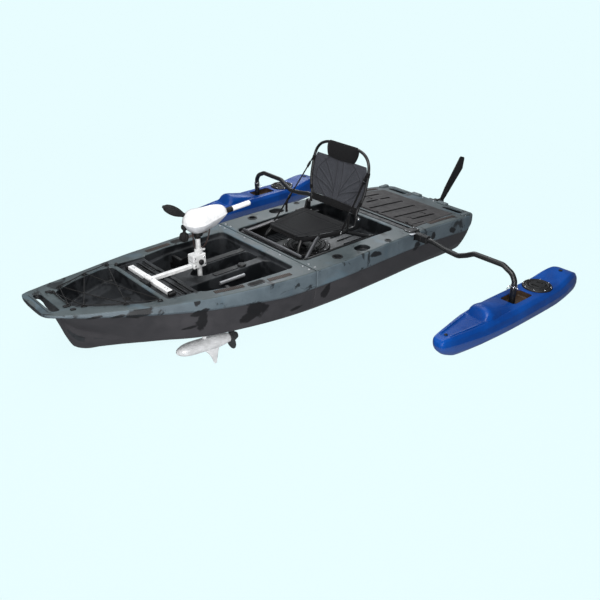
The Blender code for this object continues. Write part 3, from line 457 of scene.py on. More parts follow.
def mixOf(finish, factor, a, b, blend="MIX"):
    node = nodeOf(finish, "ShaderNodeMix", {"data_type": "RGBA", "blend_type": blend})
    for slot, value in ((0, factor), (6, a), (7, b)):
        give(finish, node, slot, value)
    return node.outputs[2]


def mathOf(finish, operation, *values):
    node = nodeOf(finish, "ShaderNodeMath", {"operation": operation})
    for slot, value in enumerate(values):
        give(finish, node, slot, value)
    return node.outputs[0]


def bumpOf(finish, height, strength, distance):
    node = nodeOf(finish, "ShaderNodeBump", inputs={"Strength": strength, "Distance": distance},
                  feeds={"Height": height})
    plug(finish, node.outputs["Normal"], "Normal")


def attributeOf(finish, name):
    return nodeOf(finish, "ShaderNodeAttribute", {"attribute_name": name}).outputs["Fac"]


def mouldedPlastic(name, colour, roughness, grain=900):
    # satin moulding: fine grain, faint cloudiness
    finish = newFinish(name, colour, roughness, Specular_IOR_Level=0.3)
    cloud = rangeOf(finish, noiseOf(finish, 9, 4), 0.3, 0.7)
    light = tuple(min(1, c * 1.35 + 0.004) for c in colour)
    dark = tuple(c * 0.8 for c in colour)
    plug(finish, mixOf(finish, cloud, dark, light), "Base Color")
    plug(finish, rangeOf(finish, noiseOf(finish, 35, 3), 0.25, 0.75, roughness - 0.06, roughness + 0.08),
         "Roughness")
    bumpOf(finish, noiseOf(finish, grain, 2), 0.25, 0.0002)
    return finish


def coatedTube(name, colour, roughness, metallic=0.0, coat=0.2):
    finish = newFinish(name, colour, roughness, metallic, Coat_Weight=coat, Coat_Roughness=0.22)
    dark = tuple(c * 0.82 for c in colour)
    plug(finish, mixOf(finish, rangeOf(finish, noiseOf(finish, 22, 4), 0.35, 0.65), dark, colour),
         "Base Color")
    plug(finish, rangeOf(finish, noiseOf(finish, 60, 3), 0.3, 0.7, roughness - 0.05, roughness + 0.07),
         "Roughness")
    bumpOf(finish, noiseOf(finish, 450, 2), 0.12, 0.0002)
    return finish


def polishedMetal(name, colour, roughness):
    finish = newFinish(name, colour, roughness, 1.0)
    plug(finish, rangeOf(finish, noiseOf(finish, 120, 3), 0.3, 0.7, roughness, roughness + 0.12), "Roughness")
    return finish


def wovenCloth(name, colour, thread, cell, roughness=0.9, depth=0.0006):
    # two crossed sets of threads with small open cells between them
    finish = newFinish(name, colour, roughness, Sheen_Weight=0.06, Sheen_Roughness=0.5,
                       Specular_IOR_Level=0.15)
    axes = nodeOf(finish, "ShaderNodeSeparateXYZ", feeds={"Vector": objectPlace(finish)})
    upward = mathOf(finish, "ADD", axes.outputs["Z"], mathOf(finish, "MULTIPLY", axes.outputs["X"], 0.9))
    waves = [mathOf(finish, "SINE", mathOf(finish, "MULTIPLY", axis, math.tau / cell))
             for axis in (axes.outputs["Y"], upward)]
    weave = mathOf(finish, "MULTIPLY", *waves)
    mask = rangeOf(finish, weave, -0.6, 0.6)
    cloud = rangeOf(finish, noiseOf(finish, 14, 4), 0.3, 0.7)
    tinted = mixOf(finish, cloud, tuple(c * 0.82 for c in colour), colour)
    plug(finish, mixOf(finish, mask, thread, tinted), "Base Color")
    bumpOf(finish, weave, 0.5, depth)
    return finish


finishes = {
    "black": mouldedPlastic("blackMoulding", (0.0055, 0.0058, 0.0066), 0.5),
    "blackTube": coatedTube("blackCoatedTube", (0.0055, 0.0058, 0.0066), 0.38, coat=0.08),
    "dullTube": coatedTube("dullCoatedTube", (0.1, 0.102, 0.11), 0.36, 0.6, 0.1),
    "paleTube": coatedTube("paleCoatedTube", (0.42, 0.43, 0.45), 0.32, 0.6, 0.2),
    "white": coatedTube("whiteGlossCoat", (0.86, 0.87, 0.88), 0.28, coat=0.5),
    "chrome": polishedMetal("brightMetal", (0.78, 0.79, 0.8), 0.12),
    "steel": polishedMetal("dullMetal", (0.42, 0.43, 0.45), 0.34),
    "rubber": mouldedPlastic("blackRubber", (0.005, 0.005, 0.0056), 0.68, 500),
    "webbing": wovenCloth("blackWebbing", (0.008, 0.008, 0.0095), (0.003, 0.003, 0.0035), 0.0022),
}


# Hull finish

# camo colours of the hull, with the painted light and painted shade of its zones
camoAndPaintedLight = {
    # dark smears on the upper sides: station, height above the keel, half length, half height, turn
    "smears": [
        (0.426, 0.385, 0.062, 0.036, -8), (0.216, 0.4, 0.036, 0.01, -6), (0.326, 0.382, 0.036, 0.012, -4),
        (0.737, 0.307, 0.048, 0.02, -6), (0.75, 0.24, 0.028, 0.066, 6), (0.69, 0.212, 0.045, 0.01, -6),
        (0.716, 0.375, 0.016, 0.024, 0), (1.035, 0.19, 0.062, 0.034, -14), (1.075, 0.228, 0.072, 0.05, 26),
        (1.351, 0.143, 0.044, 0.014, -6), (1.967, 0.318, 0.054, 0.018, 10), (2.371, 0.245, 0.03, 0.034, -12),
        (2.543, 0.272, 0.024, 0.024, 15), (2.759, 0.25, 0.044, 0.019, 20), (1.56, 0.19, 0.03, 0.05, 25),
    ],
    "deckGrey": (0.062, 0.08, 0.087),
    # painted light: the upper side band is coloured lighter than the deck, where it catches the light
    "bandLitGrey": (0.086, 0.114, 0.134),
    # painted shade: the lower sides, which face down, are coloured darker; their brownish tint is their own
    "lowShadedGrey": (0.037, 0.0365, 0.041),
    # painted shade: the deep wells are coloured near black
    "wellShadeGrey": (0.024, 0.027, 0.031),
    "bluish": (0.075, 0.118, 0.15),
    "dark": (0.0075, 0.009, 0.011),
    "black": (0.0045, 0.0045, 0.0055),
}


def hullFinish():
    finish = newFinish("mottledHull", camoAndPaintedLight["deckGrey"], 0.5, Specular_IOR_Level=0.3)
    cloud = noiseOf(finish, 5.5, 5, 0.6, distortion=0.6)
    patches = rangeOf(finish, noiseOf(finish, 3.2, 4, 0.5, objectPlace(finish, location=(3.1, 1.7, 0.4)),
                                      1.2), 0.54, 0.66)
    # painted light on the upper side band
    upper = mixOf(finish, attributeOf(finish, "band"), camoAndPaintedLight["deckGrey"], camoAndPaintedLight["bandLitGrey"])
    upper = mixOf(finish, mathOf(finish, "MULTIPLY", patches, 0.55), upper, camoAndPaintedLight["bluish"])
    blots = noiseOf(finish, 6.5, 5, 0.62, objectPlace(finish, location=(7.3, 2.2, 1.1)), 0.9)
    upper = mixOf(finish, mathOf(finish, "MULTIPLY", rangeOf(finish, blots, 0.585, 0.64), 0.85), upper,
                  camoAndPaintedLight["dark"])
    # painted shade on the lower sides
    whole = mixOf(finish, attributeOf(finish, "low"), upper, camoAndPaintedLight["lowShadedGrey"])
    # painted shade in the wells, mixed with the dark blots
    wellShade = mixOf(finish, rangeOf(finish, blots, 0.48, 0.56), camoAndPaintedLight["wellShadeGrey"], camoAndPaintedLight["dark"])
    whole = mixOf(finish, attributeOf(finish, "well"), whole, wellShade)
    tint = mixOf(finish, rangeOf(finish, cloud, 0.32, 0.68), (0.8, 0.8, 0.8), (1.16, 1.14, 1.12))
    whole = mixOf(finish, 1.0, whole, tint, "MULTIPLY")
    ragged = noiseOf(finish, 26, 4, 0.6)
    total = None
    coords = nodeOf(finish, "ShaderNodeTexCoord")
    for x, z, long, tall, turn in camoAndPaintedLight["smears"]:
        centre = boatPoint(x, 0, z)
        place = nodeOf(finish, "ShaderNodeMapping", {"vector_type": "TEXTURE"},
                       {"Location": centre, "Rotation": (0, math.radians(turn), 0),
                        "Scale": (long, 1000.0, tall)},
                       {"Vector": coords.outputs["Object"]}).outputs["Vector"]
        reach = nodeOf(finish, "ShaderNodeVectorMath", {"operation": "LENGTH"},
                       feeds={"Vector": place}).outputs["Value"]
        total = reach if total is None else mathOf(finish, "MINIMUM", total, reach)
    smear = mathOf(finish, "ADD", total,
                   mathOf(finish, "MULTIPLY", mathOf(finish, "SUBTRACT", ragged, 0.5), 1.5))
    smear = rangeOf(finish, smear, 1.15, 0.85)
    side = mathOf(finish, "MAXIMUM", attributeOf(finish, "band"), attributeOf(finish, "low"))
    smear = mathOf(finish, "MULTIPLY", smear, mathOf(finish, "MULTIPLY", side, 0.94))
    whole = mixOf(finish, smear, whole, camoAndPaintedLight["black"])
    plug(finish, whole, "Base Color")
    plug(finish, rangeOf(finish, cloud, 0.3, 0.7, 0.4, 0.56), "Roughness")
    bumpOf(finish, mathOf(finish, "ADD", noiseOf(finish, 420, 3),
                          mathOf(finish, "MULTIPLY", noiseOf(finish, 30, 2), 1.5)), 0.22, 0.0006)
    return finish


finishes["hull"] = hullFinish()
print("finishes made")


# Camera, light and floor

studio = {
    "eye": (-2.6835, -3.3855, 2.1189),
    "target": (-0.289, -0.611, 0.2),
    "lens": 45.39,
    "background": (0.807, 0.982, 1.0),
    "sky": (0.9, 0.95, 1.0, 1),
    "worldPower": 0.24,
    "floorFade": {"From Min": 1.6, "From Max": 4.5, "To Min": 0.03, "To Max": 0.0},
    # lamp, place, aim, size, watts, colour
    "lamps": [
        ("keyLight", (-2.2, -3.0, 4.6), (0, 0, 0), 3.4, 250, (1.0, 0.985, 0.96)),
        ("skyLight", (0.6, 0.8, 5.2), (0.2, 0, 0), 4.6, 135, (0.97, 0.99, 1.0)),
        ("rearLight", (3.6, 3.4, 3.0), (0.4, 0, 0.2), 2.8, 90, (0.93, 0.97, 1.0)),
        ("lowLight", (-2.6, -4.2, 0.9), (-0.5, -0.1, -0.3), 1.6, 70, (1.0, 0.995, 0.98)),
        ("depthLight", (-1.7, -2.4, -0.55), (-0.55, 0, -0.28), 0.8, 30, (1.0, 0.99, 1.0)),
        ("bowLight", (-5.0, 0.6, 1.9), (-0.6, 0, 0.1), 2.4, 45, (1.0, 1.0, 1.0)),
    ],
}


def aimed(name, data, place, aim):
    stand = newPiece(name, data)
    stand.location = place
    stand.rotation_euler = (Vector(aim) - Vector(place)).to_track_quat("-Z", "Y").to_euler()
    return stand


def makeWorld():              # the camera sees the background's colour, the boat a dimmer sky
    world = bpy.data.worlds.new("paleStudio")
    sceneNow.world = world
    world.use_nodes = True
    world.node_tree.nodes.clear()
    path = nodeOf(world, "ShaderNodeLightPath")
    seen = nodeOf(world, "ShaderNodeBackground", inputs={"Color": (*studio["background"], 1)})
    cast = nodeOf(world, "ShaderNodeBackground",
                  inputs={"Color": studio["sky"], "Strength": studio["worldPower"]})
    mix = nodeOf(world, "ShaderNodeMixShader",
                 feeds={"Fac": path.outputs["Is Camera Ray"], 1: cast.outputs[0], 2: seen.outputs[0]})
    nodeOf(world, "ShaderNodeOutputWorld", feeds={"Surface": mix.outputs[0]})


def makeFloor():              # mostly see-through, and it fades out well before its edge
    finish = newFinish("paleFloor", (0.86, 0.95, 0.97), 0.9)
    nodes = finish.node_tree.nodes
    coords = nodeOf(finish, "ShaderNodeTexCoord")
    reach = nodeOf(finish, "ShaderNodeVectorMath", {"operation": "LENGTH"},
                   feeds={0: coords.outputs["Object"]})
    fade = nodeOf(finish, "ShaderNodeMapRange", inputs=studio["floorFade"],
                  feeds={"Value": reach.outputs["Value"]})
    clear = nodeOf(finish, "ShaderNodeBsdfTransparent")
    blend = nodeOf(finish, "ShaderNodeMixShader", feeds={
        "Fac": fade.outputs["Result"], 1: clear.outputs[0], 2: nodes["Principled BSDF"].outputs[0]})
    finish.node_tree.links.new(blend.outputs[0], nodes["Material Output"].inputs["Surface"])
    bm = bmesh.new()
    bmesh.ops.create_grid(bm, x_segments=1, y_segments=1, size=9)
    painted(newPiece("waterlineFloor", meshOf(bm, "waterlineFloor", recalc=False)), finish)


def makeStudio():
    lens = bpy.data.cameras.new("camera")
    lens.lens = studio["lens"]
    lens.sensor_width = 36
    lens.clip_end = 60
    sceneNow.camera = aimed("camera", lens, studio["eye"], studio["target"])
    for name, place, aim, size, power, colour in studio["lamps"]:
        lamp = bpy.data.lights.new(name, "AREA")
        lamp.shape = "DISK"
        lamp.size = size
        lamp.energy = power
        lamp.color = colour
        aimed(name, lamp, place, aim)
    makeWorld()
    makeFloor()
    sceneNow.view_settings.view_transform = "Standard"


makeStudio()
print("camera, light and floor made")


# Hull

hull = {
    "panelEnds": [(2.412, 0.39), (2.885, 0.328)],
    "panelDeep": 0.0142,
    # station, half width, chine half width, chine height, keel height
    "sections": [
        (0.000, 0.118, 0.085, 0.424, 0.42), (0.012, 0.15, 0.105, 0.421, 0.414),
        (0.04, 0.171, 0.112, 0.416, 0.404), (0.085, 0.19, 0.1, 0.404, 0.388),
        (0.118, 0.203, 0.062, 0.352, 0.312), (0.143, 0.213, 0.058, 0.315, 0.227),
        (0.176, 0.226, 0.064, 0.285, 0.151), (0.211, 0.238, 0.074, 0.262, 0.121),
        (0.262, 0.254, 0.092, 0.238, 0.098), (0.341, 0.28, 0.132, 0.208, 0.083),
        (0.438, 0.311, 0.186, 0.182, 0.073), (0.545, 0.344, 0.246, 0.164, 0.06),
        (0.75, 0.398, 0.33, 0.13, 0.036), (0.93, 0.428, 0.375, 0.113, 0.02),
        (1.2, 0.466, 0.412, 0.093, 0.006), (1.43, 0.484, 0.43, 0.083, 0.000),
        (1.6, 0.488, 0.436, 0.08, 0.000), (1.75, 0.49, 0.44, 0.08, 0.000),
        (2.1, 0.477, 0.43, 0.078, 0.000), (2.45, 0.456, 0.41, 0.072, 0.004),
        (2.75, 0.438, 0.392, 0.054, 0.014), (2.9, 0.425, 0.38, 0.052, 0.03),
        (2.97, 0.414, 0.372, 0.085, 0.068), (3.01, 0.404, 0.366, 0.13, 0.115),
        (3.035, 0.39, 0.352, 0.18, 0.168), (3.05, 0.366, 0.33, 0.215, 0.207)],
    "stationStep": 0.02,
    "wellFloor": 0.31,
    "ridgeTop": 0.367,
    "footDeck": 0.325,
    "footFloor": 0.14,
    "cockpitFloor": 0.25,
    "grooveAt": 2.36,
    "grooveFloor": 0.3,
    "rodHolderAt": (1.7, 0.415),
}


def sheerAt(x):
    if x < 1.6:
        return boat["sheer"] + boat["bowRise"] * (1 - x / 1.6) ** 2
    if x > 2.0:
        return boat["sheer"] - boat["sternDrop"] * ((x - 2.0) / 1.05) ** 2
    return boat["sheer"]


def sectionAt(x):    # smooth through the table, never past its neighbours
    rows = hull["sections"]
    x = min(max(x, rows[0][0]), rows[-1][0])
    i = max(k for k, row in enumerate(rows[:-1]) if row[0] <= x + 1e-9)
    a, b = rows[i], rows[i + 1]
    before, after = rows[max(i - 1, 0)], rows[min(i + 2, len(rows) - 1)]
    h = b[0] - a[0]
    t = (x - a[0]) / h

    def tangent(c, p, q, s):
        if q[0] - p[0] < 1e-9:
            return s
        wide = (q[c] - p[c]) / (q[0] - p[0])
        return 0.0 if wide * s <= 0 else math.copysign(min(abs(wide), 2.5 * abs(s)), s)

    result = []
    for c in range(1, 5):
        slope = (b[c] - a[c]) / h
        m0, m1 = tangent(c, before, b, slope) * h, tangent(c, a, after, slope) * h
        result.append((2 * t ** 3 - 3 * t ** 2 + 1) * a[c] + (t ** 3 - 2 * t ** 2 + t) * m0
                      + (-2 * t ** 3 + 3 * t ** 2) * b[c] + (t ** 3 - t ** 2) * m1)
    return result


def bandAt(x, top, chineZ):
    return min(0.012 + 0.078 * x, 0.11, 0.5 * (top - chineZ))


def filletPath(points, steps):    # open (y, z, radius) path, always the same number of points
    result = [Vector(points[0][:2])]
    for before, corner, after in zip(points, points[1:], points[2:]):
        here = Vector(corner[:2])
        back, ahead = Vector(before[:2]) - here, Vector(after[:2]) - here
        half = max(back.angle(ahead, math.pi) / 2, 0.05)
        run = min(corner[2] / math.tan(half) if half < 1.57 else 0.001, back.length * 0.45,
                  ahead.length * 0.45)
        first, last = here + back.normalized() * run, here + ahead.normalized() * run
        for k in range(steps + 1):
            t = k / steps
            result.append(first * (1 - t) ** 2 + here * 2 * t * (1 - t) + last * t ** 2)
    result.append(Vector(points[-1][:2]))
    return result


def hullRing(x, draw=0.0):
    half, chineY, chineZ, keel = sectionAt(x)
    top = sheerAt(x)
    band = bandAt(x, top, chineZ)
    lip = min(0.01, 0.25 * band)
    path = filletPath([
        (0, keel), (chineY * 0.55, mixed(keel, chineZ, 0.26), 0.3),
        (chineY * 0.88, mixed(keel, chineZ, 0.72), 0.1), (chineY, chineZ + 0.002, 0.03),
        (mixed(chineY, half, 0.55), mixed(chineZ, top - band, 0.5), 0.3),
        (half - 0.0095, top - band - 0.002, 0.004), (half, top - band + lip, 0.006),
        (half, top, min(0.013, 0.3 * band)), (half * 0.86, top, 0.02), (0, top)], 4)
    if draw:
        middle = (keel + top) / 2
        path = [Vector((max(p.x - draw, 0) if p.x > 1e-6 else 0,
                        mixed(p.y, middle, min(1, draw / max(1e-4, (top - keel) / 2))))) for p in path]
    right = [boatPoint(x, p.x, p.y) for p in path]
    left = [boatPoint(x, -p.x, p.y) for p in reversed(path[1:-1])]
    return right + left


def hullShell(name, front, rear):
    stations = [row[0] for row in hull["sections"] if front < row[0] < rear]
    count = int((rear - front) / hull["stationStep"])
    stations += [front + (rear - front) * k / count for k in range(count + 1)]
    stations = sorted(stations)
    kept = [stations[0]]
    for x in stations[1:]:
        if x - kept[-1] > 0.004:
            kept.append(x)
    kept[-1] = rear
    rings = []
    ends = ((0.0000, 0.006), (0.0018, 0.0026), (0.006, 0.0))    # rounded end faces
    for step, draw in ends:
        rings.append(hullRing(front + step, draw))
    rings += [hullRing(x) for x in kept if front + 0.009 < x < rear - 0.009]
    for step, draw in reversed(ends):
        rings.append(hullRing(rear - step, draw))
    return loftRings(name, rings)


def rollCutter(outline, surface, floor, lip=0.006, fillet=0.008, draft=0.03, through=False):
    # well shape with a rolled upper edge, drafted walls and a filleted floor
    normals = outlineNormals(outline)
    levels = [(lip, 0.14, True), (lip, 0.0004, True)]
    quarter = [math.radians(22.5) * k for k in range(5)]
    levels += [(lip * (1 - math.sin(a)), -lip * (1 - math.cos(a)), True) for a in quarter[1:]]
    if through:
        levels.append((0.0, floor, False))
    else:
        levels += [(-fillet * (1 - math.cos(a)), floor + fillet * (1 - math.sin(a)), False) for a in quarter]
    rings = []
    for grow, height, fromTop in levels:
        ring = []
        for p, n in zip(outline, normals):
            top = surface(p.x, p.y)
            z = top + height if fromTop else height
            lean = 0 if fromTop else draft * (top - max(z, floor))
            q = p + n * (grow - lean)
            ring.append(boatPoint(q.x, q.y, z))
        rings.append(ring)
    return loftRings("cutter", rings)


def dense(outline, step=0.02):    # extra points on the long runs
    result = []
    for a, b in zip(outline, outline[1:] + outline[:1]):
        parts = max(1, int((b - a).length / step))
        result += [a.lerp(b, k / parts) for k in range(parts)]
    return result


def deckTop(x, y):
    return sheerAt(x)


def midDeck(x, y):    # the ridge is already cut where the foot deck meets it
    return hull["ridgeTop"] if x < 0.84 and abs(y) < 0.296 else sheerAt(x)


def footTop(x, y):
    return hull["footDeck"]


def halfOutline(points, radius):    # dense outline, given by its starboard half
    return dense(roundOutline(mirroredOutline(points), radius))


def oblong(x0, y0, x1, y1, radius, steps=4, step=0.03):
    return dense(roundOutline([(x0, y0), (x1, y0), (x1, y1), (x0, y1)], radius, steps), step)


def boatBox(name, low, high, radius, finish=None, segments=3):    # corners: station, width, height
    low, high = zip(*[sorted(pair) for pair in zip(low, high)])
    return roundedBox(name, boatPoint(*low), boatPoint(*high), radius, finish, segments)


def markZones(piece):    # band, lower side and wells, as the hull's finish reads them: painted light on the band, painted shade on the lower side and in the wells
    mesh = piece.data
    flags = {word: mesh.attributes.new(word, "FLOAT", "CORNER").data for word in ("band", "low", "well")}
    half = boat["length"] / 2
    for face in mesh.polygons:
        c = face.center
        x, y, z = c.x + half, c.y, c.z + boat["draft"]
        wide, chineY, chineZ, keel = sectionAt(x)
        top = sheerAt(x)
        edge = top - bandAt(x, top, chineZ)
        outside = abs(y) > mixed(chineY, wide,
                                 max(0, min(1, (z - chineZ) / max(0.01, edge - chineZ)))) - 0.012
        outer = outside or z < keel + 0.5 * max(0, chineZ - keel) + 0.004 or face.normal.z < -0.35
        band = 1.0 if outer and z > edge and face.normal.z < 0.55 else 0.0
        low = 1.0 if outer and z <= edge else 0.0
        well = 1.0 if not outer and z < top - 0.004 else 0.0
        for loop in face.loop_indices:
            flags["band"][loop].value = band
            flags["low"][loop].value = low
            flags["well"][loop].value = well


def bowHull():
    shell = hullShell("bowShell", 0.0, boat["joint"] - 0.0004)
    well = halfOutline([(0.166, 0.105, 0.05), (0.32, 0.195, 0.3), (0.5, 0.262, 0.1), (0.579, 0.262, 0.03)],
                       0.03)
    ridge = halfOutline([(0.606, 0.284), (0.83, 0.297)], 0.02)
    footDeck = halfOutline([(0.806, 0.306), (0.98, 0.348), (1.41, 0.356)], 0.03)
    handle = halfOutline([(0.051, 0.119), (0.094, 0.119)], 0.018)
    slot = halfOutline([(0.936, 0.012), (0.99, 0.058), (1.38, 0.058)], 0.02)
    cutters = [
        rollCutter(well, deckTop, hull["wellFloor"], 0.008, 0.014),
        rollCutter(handle, deckTop, 0.1, 0.006, through=True, draft=0),
        rollCutter(ridge, deckTop, hull["ridgeTop"], 0.004, 0.006),
        rollCutter(footDeck, midDeck, hull["footDeck"], 0.007, 0.008),
    ]
    for side in (-1, 1):
        corners = [(0.806, 0.124), (1.4, 0.124), (1.4, 0.34), (0.98, 0.331), (0.806, 0.28)]
        foot = dense(roundOutline([(x, y * side) for x, y in corners], 0.04))
        cutters.append(rollCutter(foot, footTop, hull["footFloor"], 0.006, 0.018, 0.05))
    cutters.append(rollCutter(slot, footTop, -0.2, 0.004, through=True, draft=0))
    for x in (0.735, 0.775):
        cutters.append(boatBox("cutter", (x - 0.008, -0.262, hull["ridgeTop"] - 0.01),
                               (x + 0.008, 0.262, 0.44), 0.0035, segments=2))
    return shell, cutters


def panelCutter():
    grow = 0.0022
    (front, halfFront), (rear, halfRear) = hull["panelEnds"]
    outline = halfOutline([(front - grow, halfFront + grow), (rear + grow, halfRear + grow)], 0.012)
    return plateOf("cutter", outline, lambda x, y, h: boatPoint(x, y, sheerAt(x) - hull["panelDeep"] + h),
                   0.05, 0.001)


def sternHull():
    shell = hullShell("sternShell", boat["joint"] + 0.0004, boat["length"])
    cockpit = halfOutline([(1.496, 0.329), (2.294, 0.329)], 0.05)
    cutters = [
        rollCutter(cockpit, deckTop, hull["cockpitFloor"], 0.007, 0.016, 0.04),
        boatBox("cutter", (hull["grooveAt"] - 0.033, -0.6, hull["grooveFloor"]),
                (hull["grooveAt"] + 0.033, 0.6, 0.5), 0.004, segments=2),
        panelCutter(),
    ]
    at, out = hull["rodHolderAt"]
    for side in (-1, 1):
        y = side * out
        cutters.append(turnedPiece("cutter", [(0, 0), (0.0235, 0), (0.0235, 0.295), (0, 0.295)],
                                   boatPoint(at, y, 0.205), upVector, steps=36))
        tray = oblong(1.855, y - 0.042, 1.959, y + 0.042, 0.04, 8, 0.01)
        cutters.append(rollCutter(tray, deckTop, 0.325, 0.003, 0.006, 0.02))
        grip = oblong(2.942, side * 0.183, 2.986, side * 0.342, 0.018, 8, 0.01)
        cutters.append(rollCutter(grip, deckTop, 0.1, 0.005, through=True, draft=0))
        cutters.append(boatBox("cutter", (2.93, side * 0.172, -0.2), (3.2, side * 0.353, 0.252), 0.012))
    return shell, cutters


for hullName, nodeName, make in (("bowShell", "hull_bow", bowHull), ("sternShell", "hull_stern", sternHull)):
    shell, cutters = make()
    carve(shell, cutters)
    markZones(shell)
    painted(shell, "hull")
    evenNormals(shell)
    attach(shell, "kayak")
    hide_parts(nodeName)
    print(hullName, "carved:", len(shell.data.polygons), "faces")


# Motor

motor = {
    "shaftAt": 0.995,
    "turn": -8.4,             # degrees, the motor stands steered a little
    "headLow": 0.58,
    # height, width against the rim, distance from the shaft to the tail's centre
    "levels": [(0.58, 0.46, 0.06), (0.588, 0.62, 0.09), (0.61, 0.88, 0.135), (0.632, 1.0, 0.16),
               (0.642, 1.0, 0.16), (0.664, 0.94, 0.155), (0.686, 0.78, 0.138), (0.7, 0.56, 0.105),
               (0.708, 0.28, 0.06)],
    "frontRadius": 0.08,
    "tailRadius": 0.03,
    "collarTop": 0.474,
    "torpedoZ": -0.165,
    "torpedoNose": -0.19,
    "torpedoEnd": 0.165,
}


def motorPoint(u, v, z):      # distance aft of the shaft, to its starboard side, height above the keel
    a = math.radians(motor["turn"])
    return boatPoint(motor["shaftAt"] + u * math.cos(a) - v * math.sin(a),
                     u * math.sin(a) + v * math.cos(a), z)


def motorAxis(u, v, z):
    a = math.radians(motor["turn"])
    return Vector((u * math.cos(a) - v * math.sin(a), u * math.sin(a) + v * math.cos(a), z)).normalized()


def levelAt(t, rows):         # smooth row between listed rows, t from 0 to len - 1
    i = min(int(t), len(rows) - 2)
    f = t - i
    a, b, c, d = rows[max(i - 1, 0)], rows[i], rows[i + 1], rows[min(i + 2, len(rows) - 1)]
    return [curveAt(*values, f) for values in zip(a, b, c, d)]


def teardrop(scale, tail):
    steps = 26
    front, rear = motor["frontRadius"] * scale, motor["tailRadius"] * scale
    lean = math.asin(min(0.9, (front - rear) / tail))
    points = []
    for radius, centre, first, last, count in (
            (front, 0.0, math.pi / 2 - lean, math.tau * 0.75 + lean, steps),
            (rear, tail, -math.pi / 2 + lean, math.pi / 2 - lean, steps // 2)):
        for k in range(count + 1):
            a = mixed(first, last, k / count)
            points.append((centre + radius * math.cos(a), radius * math.sin(a)))

    def flank(a, b):          # points along a straight side
        return [[mixed(a[c], b[c], k / 8) for c in (0, 1)] for k in range(1, 8)]

    return (points[:steps + 1] + flank(points[steps], points[steps + 1]) + points[steps + 1:]
            + flank(points[-1], points[0]))


def headRing(z, scale, tail, grow=0.0):
    ring = []
    for u, v in teardrop(scale, tail):
        rise = 0.125 * max(0.0, u - 0.02) * min(1.0, (z - motor["headLow"]) / 0.03)
        reach = math.hypot(u, v) or 1
        ring.append(motorPoint(u + u / reach * grow, v + v / reach * grow, z + rise))
    return ring


def makeHead():
    rings = []
    rows = motor["levels"]
    seam = 12                 # the ring of the parting line under the rim
    for k in range(0, 33):
        z, scale, tail = levelAt(k / 4, rows)
        grow = -0.0014 if k == seam else 0.0006 if seam < k < seam + 3 else 0.0
        rings.append(headRing(z, scale, tail, grow))
    for z, scale, tail in ((0.7105, 0.17, 0.036), (0.712, 0.07, 0.015)):
        rings.append(headRing(z, scale, tail))
    head = painted(loftRings("motorHousing", rings, sharp=50), "white", "whiteLower")
    for face in head.data.polygons:
        if face.index < seam * len(rings[0]):
            face.material_index = 1
    return head


def fluted(name, profile, origin, axis, flutes, depth, finish):
    # turned piece whose flutes fade at its ends
    place = Matrix.Translation(origin) @ Vector(axis).to_track_quat("Z", "Y").to_matrix().to_4x4()
    angles = [math.tau * s / 96 for s in range(96)]
    rings = []
    for r, h, cut in profile:
        reach = [max(0.0004, r * (1 - cut * depth * (0.5 + 0.5 * math.cos(flutes * a)))) for a in angles]
        rings.append([place @ Vector((q * math.cos(a), q * math.sin(a), h)) for a, q in zip(angles, reach)])
    return painted(loftRings(name, rings, sharp=60), finish)


def makeMotor():
    pieces = {"motor_head": makeHead()}
    grip = []
    for k in range(0, 41):
        t = k / 40
        r = levelAt(t * 8, [(0.012,), (0.0135,), (0.0195,), (0.0245,), (0.0268,), (0.027,), (0.0245,),
                            (0.019,), (0.006,)])[0]
        grip.append((r, 0.145 * t if t < 0.98 else 0.1448, 1.0 if 0.25 < t < 0.93 else 0.0))
    pieces["tiller_grip"] = fluted("tillerGrip",
                                   [(0.001, 0.0, 0)] + grip[:-1] + [(0.008, 0.1445, 0), (0.001, 0.145, 0)],
                                   motorPoint(-0.052, 0.024, 0.674), motorAxis(-0.833, 0.16, 0.5), 18, 0.1,
                                   "rubber")
    knob = [(0.001, 0, 0), (0.019, 0, 0), (0.02, 0.004, 0), (0.0195, 0.015, 0), (0.016, 0.021, 0),
            (0.0088, 0.028, 0), (0.008, 0.034, 0), (0.011, 0.041, 0), (0.02, 0.046, 0.4),
            (0.0245, 0.051, 1), (0.0265, 0.058, 1), (0.027, 0.068, 1), (0.0265, 0.077, 1),
            (0.0245, 0.085, 1), (0.021, 0.09, 0.5), (0.016, 0.0925, 0), (0.001, 0.0935, 0)]
    pieces["tilt_knob"] = fluted("tiltKnob", knob, motorPoint(-0.073, 0.002, 0.628),
                                 motorAxis(-0.12, 0, -1), 12, 0.12, "rubber")
    neck = [(0, 0), (0.018, 0, 0.002), (0.0185, 0.006), (0.0165, 0.0085), (0.019, 0.0115),
            (0.0215, 0.0145, 0.001), (0.031, 0.018, 0.004), (0.0318, 0.024, 0.001), (0.03, 0.026, 0.001),
            (0.0325, 0.028, 0.001), (0.033, 0.0418), (0, 0.0418)]
    pieces["head_neck"] = turnedPiece("headNeck", neck, motorPoint(0, 0, 0.538), (0, 0, 1), "black", 48, 3)
    rise = math.radians(7)
    axis = motorAxis(math.cos(rise), 0, math.sin(rise))
    start = motorPoint(0.176, 0, 0.663)
    clip = [(0, 0), (0.0145, 0, 0.002), (0.016, 0.008, 0.003), (0.016, 0.02, 0.001), (0.0148, 0.022, 0.001),
            (0.016, 0.024, 0.001), (0.016, 0.044, 0.003), (0.015, 0.052, 0.002), (0, 0.052)]
    pieces["bar_collar"] = turnedPiece("barCollar", clip, start, axis, "black", 40, 3)
    bar = [(0, 0), (0.015, 0, 0.001), (0.015, 0.1, 0.02), (0.0135, 0.116, 0.01), (0, 0.122)]
    pieces["rear_bar"] = turnedPiece("rearBar", bar, start + axis * 0.0523, axis, "white", 36, 6)
    return pieces


